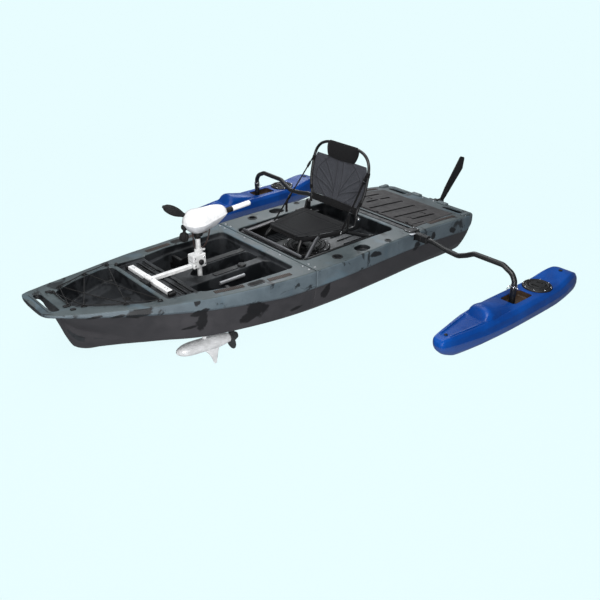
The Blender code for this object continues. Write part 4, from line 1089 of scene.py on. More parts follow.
def makeTorpedo():
    z, nose, tail = motor["torpedoZ"], motor["torpedoNose"], motor["torpedoEnd"]
    long = tail - nose
    profile = [(0, 0)]
    for k in range(1, 15):    # rounded nose
        a = math.radians(90) * k / 14
        profile.append((0.0425 * math.sin(a), 0.105 * (1 - math.cos(a))))
    profile += roundProfile([(0.043, 0.112), (0.043, 0.118, 0.0008), (0.042, 0.1195, 0.0006),
                             (0.043, 0.121, 0.0008), (0.043, 0.235), (0.043, 0.242, 0.0008),
                             (0.042, 0.2435, 0.0006), (0.043, 0.245, 0.0008), (0.0422, 0.27, 0.05),
                             (0.0385, 0.305, 0.05), (0.031, 0.34, 0.02), (0.0285, long, 0.001), (0, long)], 4)
    body = turnedPiece("torpedoBody", profile, motorPoint(nose, 0, z), motorAxis(1, 0, 0), None, 64)
    outline = [(-0.022, -0.03), (0.02, -0.0362), (0.092, -0.034), (0.0865, -0.08), (0.08, -0.115),
               (0.0745, -0.15), (0.069, -0.1555), (0.056, -0.1535), (0.04, -0.11), (0.013, -0.065)]
    outline = [Vector(p) for p in outline]
    skeg = []
    for i in range(len(outline)):
        near = [outline[(i + j) % len(outline)] for j in (-1, 0, 1, 2)]
        skeg += [curveAt(*near, k / 6) for k in range(6)]
    normals = outlineNormals(skeg)
    rings = []
    for v, draw in ((-0.0046, -0.004), (-0.004, -0.0022), (-0.0022, -0.0006), (0, 0), (0.0022, -0.0006),
                    (0.004, -0.0022), (0.0046, -0.004)):
        rings.append([motorPoint(p.x + n.x * draw, v, z + p.y + n.y * draw) for p, n in zip(skeg, normals)])
    carve(body, [loftRings("fin", rings)], "UNION", "FAST")
    return evenNormals(painted(body, "white"))


def makePropeller():
    z, end = motor["torpedoZ"], motor["torpedoEnd"] + boat["gap"]
    centre = motorPoint(end, 0, z)
    hub = turnedPiece("propellerHub",
                      [(0, 0), (0.026, 0, 0.002), (0.03, 0.008, 0.004), (0.03, 0.036, 0.01),
                       (0.018, 0.058, 0.008), (0, 0.064)], centre, motorAxis(1, 0, 0), "black", 48, corner=5)
    frameTurn = Matrix.Rotation(math.radians(motor["turn"]), 4, "Z")
    parts = [hub]
    for side in (0, 1):
        rings = []
        rows = [(0.014, 0.013, 64, 0.0048, 0.000), (0.028, 0.019, 56, 0.0044, 0.001),
                (0.045, 0.026, 48, 0.0038, 0.003), (0.062, 0.03, 41, 0.0032, 0.005),
                (0.078, 0.0295, 36, 0.0027, 0.007), (0.091, 0.025, 32, 0.0022, 0.009),
                (0.1, 0.017, 29, 0.0018, 0.011), (0.1045, 0.008, 27, 0.0012, 0.012)]
        for k in range(29):
            r, chord, pitch, thick, sweep = levelAt(k / 4, rows)
            turn = math.radians(pitch)
            ring = []
            for s in range(24):
                a = math.tau * s / 24
                along = math.cos(a) * chord + sweep
                across = math.sin(a) * thick * (1 - 0.35 * math.cos(a))
                ring.append(Vector((along * math.sin(turn) + across * math.cos(turn),
                                    along * math.cos(turn) - across * math.sin(turn), r)))
            rings.append(ring)
        spin = Matrix.Rotation(math.radians(20) + math.pi * side, 4, "X")
        place = Matrix.Translation(centre) @ frameTurn @ Matrix.Translation((0.024, 0, 0)) @ spin
        blade = loftRings("blade", [[place @ p for p in ring] for ring in rings], sharp=60)
        parts.append(painted(blade, "black"))
    nut = turnedPiece("propellerNut", [(0, 0), (0.0095, 0, 0.001), (0.0095, 0.006, 0.002), (0, 0.0085)],
                      centre + motorAxis(1, 0, 0) * 0.0555, motorAxis(1, 0, 0), "steel", 6, corner=3)
    return joinPieces("propellerBlades", parts + [nut])


def makeLeads():              # one lead: down from the head, round the shaft on its collar, and back up
    radius = 0.004
    ringRadius, height = 0.0145 + radius + 0.0022, motor["collarTop"] + radius + 0.0018
    route = [(0.062, -0.03, 0.612), (0.058, -0.034, 0.57), (0.042, -0.031, 0.522), (0.027, -0.019, 0.488)]
    for degrees in (-12, 30, 70, 110, 150, 190):
        a = math.radians(degrees)
        route.append((ringRadius * math.cos(a), ringRadius * math.sin(a), height))
    route += [(-0.029, -0.014, 0.496), (-0.038, -0.026, 0.536), (-0.042, -0.033, 0.57),
              (-0.042, -0.033, 0.612)]
    return tubeAlong("powerLeads", smoothPath([motorPoint(*p) for p in route], 10), radius, "leads", 14)


finishes["whiteLower"] = coatedTube("greyishGlossCoat", (0.6, 0.62, 0.65), 0.34, coat=0.3)
finishes["leads"] = coatedTube("leadSheath", (0.03, 0.014, 0.012), 0.42, coat=0.15)

for nodeName, piece in makeMotor().items():
    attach(piece, "motor")
    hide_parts(nodeName)
torpedo = makeTorpedo()
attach(torpedo, "motor")
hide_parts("torpedo")
propeller = makePropeller()
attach(propeller, "propeller")
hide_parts("propeller")
leads = makeLeads()
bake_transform(leads)
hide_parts("power_leads")
print("motor made")


# Floats

outerFloat = {
    "middle": 1.216,          # distance from the centreline
    "hatchAt": 2.615,
    "hatchRadius": 0.09,
    "deck": 0.16,
    # station, half width, bottom, top
    "rings": [(1.688, 0.026, 0.092, 0.13), (1.7, 0.04, 0.065, 0.146), (1.735, 0.052, 0.035, 0.15),
              (1.8, 0.068, 0.008, 0.152), (1.9, 0.088, 0.003, 0.155), (2.000, 0.105, 0.002, 0.16),
              (2.2, 0.118, 0.002, 0.165), (2.5, 0.117, 0.002, 0.164), (2.7, 0.112, 0.003, 0.166),
              (2.8, 0.103, 0.005, 0.184), (2.88, 0.09, 0.009, 0.19), (2.94, 0.074, 0.014, 0.172),
              (2.985, 0.055, 0.022, 0.135), (3.012, 0.035, 0.035, 0.105)],
    # station, half width and top of the hump ahead of the leg
    "hump": [(2.018, 0.05, 0.166), (2.03, 0.06, 0.186), (2.042, 0.067, 0.206), (2.072, 0.075, 0.219),
             (2.15, 0.073, 0.204), (2.23, 0.068, 0.185), (2.292, 0.062, 0.169), (2.33, 0.058, 0.16)],
}


def tableAt(rows, x):         # smooth values of a table of rows at station x
    if x <= rows[0][0]:
        return list(rows[0][1:])
    for i in range(len(rows) - 1):
        if x <= rows[i + 1][0]:
            t = i + (x - rows[i][0]) / (rows[i + 1][0] - rows[i][0])
            return levelAt(t, rows)[1:]
    return list(rows[-1][1:])


def floatRing(side, x, draw=0.0):
    half, low, top = tableAt(outerFloat["rings"], x)
    mid = mixed(low, top, 0.6)
    path = filletPath([(0, low), (half * 0.52, mixed(low, mid, 0.08), 0.08),
                       (half * 0.9, mixed(low, mid, 0.5), 0.05), (half, mid, 0.03),
                       (half * 0.955, mixed(mid, top, 0.7), 0.02),
                       (half * 0.78, mixed(mid, top, 0.98), 0.016), (half * 0.7, top, 0.01),
                       (half * 0.6, top, 0.01)], 4)
    # across the deck, under the hump
    path += [Vector((half * 0.6 * (1 - k / 14), top)) for k in range(1, 15)]
    humpHalf, humpTop = tableAt(outerFloat["hump"], x) if 2.018 < x < 2.33 else (0.06, top)
    result = []
    for p in path:
        y, z = p.x, p.y
        if z > mixed(mid, top, 0.55):
            lift = max(0.0, humpTop - top) * max(0.0, 1 - (y / (humpHalf + 0.007)) ** 2) ** 0.45
            hollow = -0.0035 * eased((half * 0.62 - y) / 0.02) if x < 2.0 and x > 1.74 else 0.0
            z += lift + hollow
        if draw:
            middle = (low + top) / 2
            y = max(0, y - draw)
            z = mixed(z, middle, min(1, draw / ((top - low) / 2)))
        result.append((y, z))
    right = [boatPoint(x, side * outerFloat["middle"] + y, z) for y, z in result]
    left = [boatPoint(x, side * outerFloat["middle"] - y, z) for y, z in reversed(result[1:-1])]
    return right + left


def floatFinish():
    finish = newFinish("blueFloat", (0.0008, 0.042, 0.24), 0.36, Specular_IOR_Level=0.22)
    cloud = rangeOf(finish, noiseOf(finish, 6, 4), 0.3, 0.7)
    skin = mixOf(finish, cloud, (0.0, 0.034, 0.19), (0.0, 0.056, 0.29))
    plug(finish, mixOf(finish, attributeOf(finish, "recess"), skin, (0.055, 0.036, 0.024)), "Base Color")
    plug(finish, rangeOf(finish, noiseOf(finish, 18, 3), 0.3, 0.7, 0.28, 0.42), "Roughness")
    bumpOf(finish, noiseOf(finish, 260, 3), 0.15, 0.0005)
    return finish


finishes["float"] = floatFinish()


def makeFloat(word, side):
    middle = side * outerFloat["middle"]
    first, last = outerFloat["rings"][0][0], outerFloat["rings"][-1][0]
    stations = [first + (last - first) * k / 130 for k in range(131)]
    rings = [floatRing(side, first, 0.01), floatRing(side, first + 0.0025, 0.004)]
    rings += [floatRing(side, x) for x in stations if first + 0.006 < x < last - 0.006]
    rings += [floatRing(side, last - 0.0025, 0.004), floatRing(side, last, 0.01)]
    body = loftRings("float_" + word, rings)

    def surface(x, y):
        return tableAt(outerFloat["rings"], x)[2]

    well = oblong(2.309, middle - 0.052, 2.496, middle + 0.052, 0.02, 8, 0.012)
    reach = outerFloat["hatchRadius"] + 0.0015
    seat = [Vector((outerFloat["hatchAt"] + reach * math.cos(a), middle + reach * math.sin(a)))
            for a in [math.tau * k / 64 for k in range(64)]]
    carve(body, [rollCutter(well, surface, 0.124, 0.004, 0.01, 0.02),
                 rollCutter(seat, surface, outerFloat["deck"], 0.0025, 0.001, 0)])
    recess = body.data.attributes.new("recess", "FLOAT", "CORNER").data
    for face in body.data.polygons:
        c = face.center
        x, y, z = c.x + boat["length"] / 2, abs(c.y) - outerFloat["middle"], c.z + boat["draft"]
        inside = 2.3 < x < 2.505 and abs(y) < 0.0525 and 0.1 < z < 0.158
        for loop in face.loop_indices:
            recess[loop].value = 1.0 if inside else 0.0
    evenNormals(painted(body, "float"))
    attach(body, "outrigger_" + word)
    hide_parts("float_" + word)
    return body


for word, side in bothSides:
    body = makeFloat(word, side)
    print("float", word, "made:", len(body.data.polygons), "faces")


# Outrigger arms and legs

outrigger = {
    "tubeRadius": 0.0162,
    "barHeight": 0.3228,
    "legLow": 0.124,
    "legTop": 0.25,
}


def makeArm(word, side):
    z, middle = outrigger["barHeight"], outerFloat["middle"]
    run = [(0.464, z), (0.6, z), (0.7, 0.304), (0.8, 0.297), (0.862, 0.322), (0.915, 0.35), (1.125, 0.351),
           (1.193, 0.318), (middle, 0.278), (middle, outrigger["legTop"] + 0.0002)]
    path = bentPath([boatPoint(hull["grooveAt"], side * y, h) for y, h in run], 0.06, 10)
    arm = tubeAlong("armTube_" + word, path, outrigger["tubeRadius"], "blackTube", 24)
    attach(arm, "outrigger_" + word)
    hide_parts("arm_" + word)
    foot = boatPoint(hull["grooveAt"], side * middle, outrigger["legLow"] + boat["gap"])
    high = outrigger["legTop"] - outrigger["legLow"] - 0.0006
    profile = [(0, 0), (0.0245, 0, 0.002), (0.0245, 0.01, 0.003), (0.0185, 0.013, 0.002),
               (0.0185, high - 0.026, 0.001), (0.02, high - 0.025, 0.001), (0.02, high - 0.002, 0.002),
               (0.0175, high, 0.001), (0, high)]
    leg = turnedPiece("legTube", profile, foot, (0, 0, 1), "blackTube", 40, 4)
    pinAt = boatPoint(hull["grooveAt"], side * middle, 0.238)
    pin = tubeAlong("legPin", [pinAt + Vector((0, -0.03, 0)), pinAt + Vector((0, 0.03, 0))], 0.0036,
                    "chrome", 12, dome=0.0015)
    loop = [pinAt + Vector((0.014 * math.sin(a), -side * 0.03 - side * 0.013 * (1 - math.cos(a)) * 0.4,
                            -0.013 * (1 - math.cos(a)))) for a in [math.tau * k / 20 for k in range(20)]]
    ring = tubeAlong("pinRing", loop, 0.0014, "chrome", 8, closed=True)
    collarRing = turnedPiece("legRing",
                             [(0.0186, 0), (0.0215, 0, 0.0008), (0.0215, 0.0045, 0.0008), (0.0186, 0.0045),
                              (0.0186, 0)], foot + Vector((0, 0, high - 0.0035)), (0, 0, 1),
                             "chrome", 40, corner=3)
    whole = joinPieces("floatLeg_" + word, [leg, pin, ring, collarRing])
    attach(whole, "outrigger_" + word)
    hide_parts("float_leg_" + word)


for word, side in bothSides:
    makeArm(word, side)
print("outrigger arms made")


# Round hatches

def onCircle(centre, radius, height, count, shift=0.0):
    # places for small items, facing up and set outward
    angles = [math.tau * (k + shift) / count for k in range(count)]
    return [(centre + Vector((math.cos(a) * radius, math.sin(a) * radius, height)), (0, 0, 1),
             (math.cos(a), math.sin(a), 0)) for a in angles]


def makeHatch(name, body, ringNode, lidNode, x, y, base, radius, height, screwCount):
    centre = boatPoint(x, y, base)
    inner = radius * 0.82
    profile = [(inner, 0.0002), (radius, 0.0002), (radius, height * 0.42, 0.0015),
               (radius - 0.004, height * 0.8, 0.003), (radius * 0.885, height * 0.92, 0.002),
               (radius * 0.865, height * 1.02, 0.001), (inner + 0.001, height * 1.02, 0.001),
               (inner, height * 0.5), (inner, 0.0002)]
    ring = turnedPiece("hatchRing", profile, centre, (0, 0, 1), "black", 96, 3)
    profile = [(0, 0), (0.0042, 0, 0.0003), (0.0042, 0.0009, 0.0008), (0.0014, 0.0018, 0.0002),
               (0.0012, 0.0011), (0, 0.0011)]
    screw = turnedPiece("screwHead", profile, (0, 0, 0), (0, 0, 1), None, 14, 2)
    places = onCircle(centre, radius * 0.925, height * 0.865, screwCount, 0.5)
    screws = setItems("hatchScrews", screw, places, "chrome")
    whole = joinPieces(name + "Ring", [ring, screws])
    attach(whole, body)
    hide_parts(ringNode)

    lidRadius = radius * 0.8
    lidBase = height * 0.55 + boat["gap"]
    profile = [(lidRadius * wide, height * high, *corner) for wide, high, *corner in (
        (0, 0), (1, 0, 0.0005), (1, 0.42, 0.002), (0.93, 0.6, 0.002), (0.9, 0.6, 0.001), (0.86, 0.44, 0.002),
        (0.66, 0.44, 0.002), (0.62, 0.58, 0.002), (0.16, 0.6, 0.002), (0, 0.6))]
    lid = turnedPiece("hatchLid", profile, centre + Vector((0, 0, lidBase)), (0, 0, 1), "black", 96, 3)
    grips = []
    for side in (-1, 1):      # two finger recesses
        outline = roundOutline([(side * lidRadius * u, lidRadius * v)
                                for u, v in ((0.22, -0.34), (0.52, -0.3), (0.52, 0.3), (0.22, 0.34))],
                               lidRadius * 0.1)
        top = base + lidBase + height * 0.6
        shaped = [Vector((x + p.x, y + p.y)) for p in outline]
        grips.append(rollCutter(shaped, lambda px, py: top, top - height * 0.38, 0.0008, 0.001, 0))
    carve(lid, grips)
    lid.data.materials.clear()
    evenNormals(painted(lid, "black"))
    rib = roundedBox("rib", (-lidRadius * 0.075, -0.0011, 0), (lidRadius * 0.075, 0.0011, height * 0.16),
                     0.0006, segments=1)
    # short ribs in the lid's outer groove
    places = onCircle(centre, lidRadius * 0.76, lidBase + height * 0.43, 40)
    ribs = setItems("lidRibs", rib, places, "black")
    lid = joinPieces(name + "Lid", [lid, ribs])
    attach(lid, body)
    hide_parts(lidNode)


makeHatch("floorHatch", "kayak", "floor_hatch_ring", "floor_hatch_lid", 1.818, 0, 0.2503, 0.155, 0.016, 12)
for word, side in bothSides:
    makeHatch("floatHatch_" + word, "outrigger_" + word, "float_hatch_" + word + "_ring",
              "float_hatch_" + word + "_lid", outerFloat["hatchAt"], side * outerFloat["middle"],
              outerFloat["deck"] + boat["gap"], outerFloat["hatchRadius"], 0.014, 8)
print("round hatches made")


# Seat frame

seat = {
    "panTop": 0.41,
    "front": 1.642,
    "rear": 1.995,
    "halfFront": 0.15,
    "halfRear": 0.245,
    "tube": 0.0125,
    "railTop": 0.322,
    "footTube": 1.522,
    "footHalf": 0.298,
    "pivotAt": (2.045, 0.45),
    "lean": 12,
    "lugInner": 0.229,
    # half outline of the back hoop: height, half width
    "hoop": [(0.45, 0.215), (0.51, 0.217), (0.6, 0.246), (0.7, 0.252), (0.765, 0.248), (0.81, 0.232),
             (0.843, 0.2), (0.863, 0.15), (0.868, 0.09)],
    "hoopTube": 0.0095,
}


def leaned(x, y, z):          # x aft of the hoop's plane, y across, z as if the back stood upright
    px, pz = seat["pivotAt"]
    a = math.radians(seat["lean"])
    up = z - pz
    return boatPoint(px + x * math.cos(a) + up * math.sin(a), y, pz - x * math.sin(a) + up * math.cos(a))


def panLoop():                # the pan's frame tube, seen from above
    front, rear, halfFront, halfRear = (seat[word] for word in ("front", "rear", "halfFront", "halfRear"))
    return roundOutline([(front, -halfFront), (rear, -halfRear), (rear, halfRear), (front, halfFront)], 0.05)


def makeSeatFrame():
    z = seat["panTop"] - seat["tube"] - 0.006
    tube = seat["tube"]
    foot = seat["railTop"] + tube + boat["gap"]
    px, pz = seat["pivotAt"]
    parts = [tubeAlong("loop", [boatPoint(p.x, p.y, z) for p in dense(panLoop(), 0.03)], tube,
                       "blackTube", 20, closed=True)]
    clampPlaces = []
    for side in (-1, 1):
        wide = side * seat["footHalf"]
        middle = bentPath(boatPath((1.76, side * 0.183, z + 0.002), (1.7, side * 0.215, z - 0.004),
                                   (1.545, wide, foot)), 0.05)
        parts.append(tubeAlong("middleLeg", middle, tube * 0.92, "dullTube", 20))
        rear = boatPath((seat["rear"] - 0.05, side * (seat["halfRear"] - 0.004), z), (2.1, wide, foot))
        parts.append(tubeAlong("rearLeg", rear, tube * 0.96, "blackTube", 20))
        runner = boatPath((seat["footTube"] - 0.004, wide, foot), (2.125, wide, foot))
        parts.append(tubeAlong("runner", runner, tube * 0.94, "blackTube", 20, dome=0.004))
        front = boatPath((seat["front"] + 0.012, side * 0.14, z), (1.618, side * 0.156, 0.345),
                         (1.6, side * 0.166, 0.29), (1.599, side * 0.167, 0.2535))
        parts.append(tubeAlong("frontLeg", smoothPath(front), tube * 0.96, "blackTube", 20))
        parts.append(turnedPiece("legFoot",
                                 [(0, 0), (0.0165, 0, 0.002), (0.0165, 0.018, 0.003), (0, 0.018)],
                                 boatPoint(1.599, side * 0.167, 0.2505), (0, 0, 1), "rubber", 28, corner=3))
        low = min(side * seat["lugInner"], side * (seat["lugInner"] + 0.012))
        outline = roundOutline([(1.925, 0.386), (2.058, 0.386), (2.058, 0.464), (2.026, 0.464),
                                (2.01, 0.412), (1.925, 0.41)], 0.01, 6)
        parts.append(plateOf("backLug", outline, lambda x, h, y, s=low: boatPoint(x, s + y, h), 0.012, 0.002,
                             "blackTube"))
        parts.append(turnedPiece("pivotBolt",
                                 [(0, 0), (0.0115, 0, 0.001), (0.0115, 0.004, 0.0015),
                                  (0.006, 0.0065, 0.001), (0, 0.0065)], boatPoint(px, side * 0.2412, pz),
                                 (0, side, 0), "chrome", 24, corner=3))
        clampPlaces += boatPath((1.755, side * 0.183, z), (1.548, wide, foot), (2.094, wide, foot))
    half = seat["footHalf"] + 0.001
    front = boatPath((seat["footTube"], -half, foot), (seat["footTube"], half, foot))
    parts.append(tubeAlong("frontTube", front, tube * 0.9, "blackTube", 20))
    upper = [front[0].lerp(front[1], t) + Vector((0.006, 0, 0.024)) for t in (0.03, 0.97)]
    parts.append(tubeAlong("frontTubeUpper", upper, tube * 0.8, "dullTube", 20, dome=0.004))
    profile = [(0.012, -0.012), (0.0168, -0.012, 0.002), (0.0168, 0.012, 0.002), (0.012, 0.012),
               (0.012, -0.012)]
    for place in clampPlaces:
        parts.append(turnedPiece("clamp", profile, place, (1, 0, 0), "black", 28, 3))
    whole = joinPieces("seatFrame", parts)
    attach(whole, "kayak")
    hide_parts("seat_base")


def hoopHalf(z):
    return tableAt([(h, w) for h, w in seat["hoop"]], z)[0]


def makeHoop():
    px, pz = seat["pivotAt"]
    outline = [(z, -y) for z, y in seat["hoop"]] + [(z, y) for z, y in reversed(seat["hoop"])]
    parts = [tubeAlong("hoopTube", smoothPath([leaned(0, y, z) for z, y in outline], 8), seat["hoopTube"],
                       "blackTube", 20)]
    for side in (-1, 1):
        parts.append(turnedPiece("hoopFoot",
                                 [(0, 0), (0.0125, 0, 0.001), (0.0125, 0.0045, 0.001), (0, 0.0045)],
                                 boatPoint(px, side * 0.224, pz), (0, side, 0), "steel", 24, corner=3))
        for z in (0.545, 0.735):
            half = hoopHalf(z)
            parts.append(tubeAlong("hoopSleeve",
                                   [leaned(0, side * half, z - 0.014),
                                    leaned(0, side * (hoopHalf(z + 0.014)), z + 0.014)], 0.0122,
                                   "webbing", 20))
    whole = joinPieces("backHoop", parts)
    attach(whole, "seat_back")
    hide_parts("back_frame")


makeSeatFrame()
makeHoop()
print("seat frame and hoop made")


# Seat fabric

fabric = {
    "pressure": 4.0,
    "frames": 20,
    "backRows": [(0.513, 0.207), (0.56, 0.223), (0.6, 0.2355), (0.65, 0.2415), (0.7, 0.242), (0.757, 0.237),
                 (0.782, 0.227)],
    "backGrey": (0.078, 0.083, 0.098),
    "panGrey": (0.0085, 0.0095, 0.0115),
}


def swell(piece, cap):        # cloth pushed out from inside by at most cap, its result kept as plain mesh
    rest = [v.co.copy() for v in piece.data.vertices]
    held = piece.vertex_groups.new(name="held")    # the sewn rim stays where it is
    rim = piece.data.attributes["rim"].data
    held.add([i for i, value in enumerate(rim) if value.value > 0.5], 1.0, "REPLACE")
    cloth = piece.modifiers.new("cloth", "CLOTH")
    for word, value in (("quality", 6), ("mass", 0.3), ("use_pressure", True), ("vertex_group_mass", "held"),
                        ("uniform_pressure_force", fabric["pressure"]), ("tension_stiffness", 18),
                        ("compression_stiffness", 18), ("shear_stiffness", 6), ("bending_stiffness", 0.6)):
        setattr(cloth.settings, word, value)
    cloth.settings.effector_weights.gravity = 0
    cloth.point_cache.frame_start = 1
    cloth.point_cache.frame_end = fabric["frames"]
    for number in range(1, fabric["frames"] + 1):
        sceneNow.frame_set(number)
    bakeModifiers(piece)
    sceneNow.frame_set(1)
    for v, was in zip(piece.data.vertices, rest):
        move = v.co - was
        if move.length > cap:
            v.co = was + move.normalized() * cap
    piece.vertex_groups.clear()
    return piece


def paddedSheet(name, columns, rows, place, thickness, rimWidth, finish, cap):
    # closed quilt: place(s, t, side) gives the middle surface for s, t in 0..1; its rim is sewn flat
    bm = bmesh.new()
    rim = bm.verts.layers.float.new("rim")
    grids = []
    for face in (-1, 1):
        grid = []
        for j in range(rows + 1):
            line = []
            for i in range(columns + 1):
                s, t = i / columns, j / rows
                edge = min(min(s, 1 - s) * columns, min(t, 1 - t) * rows)
                if edge == 0 and face == 1:
                    line.append(grids[0][j][i])
                    continue
                middle, normal = place(s, t)
                deep = thickness / 2 * min(1.0, edge / rimWidth) ** 0.5
                vert = bm.verts.new(middle + normal * deep * face)
                vert[rim] = 1.0 if edge <= 1 else 0.0
                line.append(vert)
            grid.append(line)
        grids.append(grid)
    for face, grid in zip((-1, 1), grids):
        for j in range(rows):
            for i in range(columns):
                quad = [grid[j][i], grid[j][i + 1], grid[j + 1][i + 1], grid[j + 1][i]]
                bm.faces.new(quad if face == 1 else quad[::-1])
    return swell(painted(newPiece(name, meshOf(bm, name, sharp=180)), finish), cap)


def seamDistance(point, seams, scale):    # point and seams as (s, t) on a sheet of that scale
    nearest = 1.0
    for line in seams:
        for (s0, t0), (s1, t1) in zip(line, line[1:]):
            ax, ay = (s1 - s0) * scale[0], (t1 - t0) * scale[1]
            bx, by = (point[0] - s0) * scale[0], (point[1] - t0) * scale[1]
            k = max(0.0, min(1.0, (ax * bx + ay * by) / max(1e-9, ax * ax + ay * ay)))
            nearest = min(nearest, math.hypot(bx - ax * k, by - ay * k))
    return nearest


def sinkSeams(piece, seams, depth, width, toSheet):    # presses sewn lines into a quilt
    scale = fabric["seamScale"][piece.name]
    normals = [v.normal.copy() for v in piece.data.vertices]
    for v, normal in zip(piece.data.vertices, normals):
        nearest = seamDistance(toSheet(v.co), seams, scale)
        if nearest < width:
            v.co -= normal * depth * (1 - (nearest / width) ** 2) ** 2


def finer(piece):
    step = piece.modifiers.new("finer", "SUBSURF")
    step.levels = step.render_levels = 1
    return bakeModifiers(piece)


def onBack(x, y, z):          # point of the leaning back and the way it faces
    return leaned(x, y, z), (leaned(-1, y, z) - leaned(0, y, z)).normalized()


def sheetOf(rows, point):     # (s, t) of a point on a sheet of the back, whose rows are (height, half width)
    a = math.radians(seat["lean"])
    px, pz = seat["pivotAt"]
    x, z = point.x + boat["length"] / 2 - px, point.z + boat["draft"] - pz
    height = x * math.sin(a) + z * math.cos(a) + pz
    t = (height - rows[0][0]) / (rows[-1][0] - rows[0][0])
    return (point.y / tableAt(rows, height)[0] + 1) / 2, t


def backPlace(s, t):
    rows = fabric["backRows"]
    z = mixed(rows[0][0], rows[-1][0], t)
    half = tableAt(rows, z)[0]
    hollow = 0.01 * math.sin(math.pi * s) ** 1.2 * (0.35 + 0.65 * math.sin(math.pi * min(1, t * 1.05)))
    return onBack(hollow, mixed(-half, half, s), z)


def backSheet(point):
    return sheetOf(fabric["backRows"], point)


def meshCloth(name, colour, thread, seamColour):
    finish = wovenCloth(name, colour, thread, 0.003, 0.85, 0.0005)
    under = finish.node_tree.nodes["Principled BSDF"].inputs["Base Color"].links[0].from_socket
    plug(finish, mixOf(finish, attributeOf(finish, "seam"), under, seamColour), "Base Color")
    return finish


def markSeams(piece, seams, width, toSheet):    # thread of the seams, as the cloth's finish reads it
    layer = piece.data.attributes.new("seam", "FLOAT", "POINT").data
    for v in piece.data.vertices:
        nearest = seamDistance(toSheet(v.co), seams, fabric["seamScale"][piece.name])
        layer[v.index].value = 1.0 - eased(nearest / width)


def fanSeams():               # sewn lines of the back, spreading upward and outward
    lines = []
    for side in (-1, 1):
        lines.append([(0.5 + side * 0.055, t / 10) for t in range(11)])
        for reach, rise in ((0.47, 0.42), (0.4, 0.66), (0.3, 0.9)):
            line = []
            for k in range(9):
                u = k / 8
                line.append((0.5 + side * (0.055 + (reach - 0.055) * u),
                             rise * (0.12 + 0.88 * u ** 0.8) + 0.08 * (1 - u)))
            lines.append(line)
        lines.append([(0.5 + side * (0.2 + 0.22 * math.sin(math.pi * k / 10)), k / 10) for k in range(11)])
    return lines


fabric["seamScale"] = {"backFabric": (0.47, 0.245), "panFabric": (0.36, 0.42), "headPad": (0.23, 0.11)}


def makeBackFabric():
    finish = meshCloth("greyMeshCloth", fabric["backGrey"], (0.02, 0.021, 0.026), (0.009, 0.0095, 0.012))
    piece = finer(paddedSheet("backFabric", 84, 46, backPlace, 0.009, 3, finish, 0.006))
    seams = fanSeams()
    sinkSeams(piece, seams, 0.0024, 0.02, backSheet)
    sinkSeams(piece, seams, 0.002, 0.006, backSheet)
    markSeams(piece, seams, 0.003, backSheet)
    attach(piece, "seat_back")
    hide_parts("back_panel")


def makeHeadPad():
    rows = [(0.774, 0.118), (0.79, 0.13), (0.81, 0.139), (0.835, 0.145), (0.86, 0.143), (0.8815, 0.126)]

    def place(s, t):
        z = mixed(rows[0][0], rows[-1][0], t)
        half = tableAt(rows, z)[0]
        return onBack(-0.002, mixed(-half, half, s), z - 0.006 * (1 - t) * math.sin(math.pi * s))

    finish = meshCloth("blackPadCloth", (0.007, 0.0072, 0.0085), (0.003, 0.003, 0.0035),
                       (0.002, 0.002, 0.0025))
    piece = finer(paddedSheet("headPad", 48, 22, place, 0.026, 5, finish, 0.005))
    seams = [[(0.1 + 0.8 * k / 12, 0.22 - 0.12 * math.sin(math.pi * k / 12)) for k in range(13)]]
    sinkSeams(piece, seams, 0.002, 0.006, lambda point: sheetOf(rows, point))
    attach(piece, "seat_back")
    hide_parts("head_pad")


def makeLowerBand():
    def place(s, t):
        return onBack(0.003 * math.sin(math.pi * s), mixed(-0.207, 0.207, s), mixed(0.467, 0.5135, t))

    piece = paddedSheet("lowerBand", 80, 10, place, 0.0055, 2, "webbing", 0.002)
    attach(piece, "seat_back")
    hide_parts("lower_band")


def panHalf(x):
    return mixed(0.15, 0.2265, max(0.0, min(1.0, (x - 1.627) / 0.293)))


def makePan():
    def place(s, t):
        x = mixed(1.628, 2.004, t)
        half = panHalf(x) - 0.0015
        corner = max(0.0, 1 - min(t, 1 - t) * 0.376 / 0.03)
        y = mixed(-half, half, s) * (1 - 0.1 * corner ** 2.2)
        sag = -0.006 * math.sin(math.pi * s) * math.sin(math.pi * t)
        return boatPoint(x, y, 0.4105 + sag), upVector

    def toSheet(point):
        x = point.x + boat["length"] / 2
        return (point.y / panHalf(x) + 1) / 2, (x - 1.628) / 0.376

    finish = meshCloth("charcoalCloth", fabric["panGrey"], (0.006, 0.006, 0.007), (0.003, 0.003, 0.0035))
    piece = finer(paddedSheet("panFabric", 66, 60, place, 0.009, 3, finish, 0.007))
    seams = [[(0.5 + side * 0.36, k / 10) for k in range(11)] for side in (-1, 1)]
    seams.append([(k / 10, 0.16) for k in range(11)])
    seams.append([(k / 10, 0.84) for k in range(11)])
    sinkSeams(piece, seams, 0.0022, 0.007, toSheet)
    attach(piece, "kayak")
    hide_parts("seat_pan")


def makeBinding():            # webbing sewn round the pan's edge, over the loop tube
    z = seat["panTop"] - seat["tube"] - 0.006
    loop = dense(panLoop(), 0.012)
    normals = outlineNormals(loop)
    spans = [[]]
    for i, p in enumerate(loop):    # gaps are left at the lugs
        if p.x > 1.918 and abs(p.y) > 0.21:
            spans.append([])
        else:
            spans[-1].append(i)
    section = [(math.radians(-70 + 190 * k / 11), 0.0143) for k in range(12)]
    section += [(a, 0.0128) for a, r in reversed(section)]
    parts = []
    for span in spans:
        if len(span) > 2:
            rings = []
            for p, n in ((loop[i], normals[i]) for i in span):
                ring = [(p + n * math.cos(a) * r, z + math.sin(a) * r) for a, r in section]
                rings.append([boatPoint(q.x, q.y, h) for q, h in ring])
            parts.append(painted(loftRings("binding", rings), "webbing"))
    whole = joinPieces("panBinding", parts)
    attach(whole, "kayak")


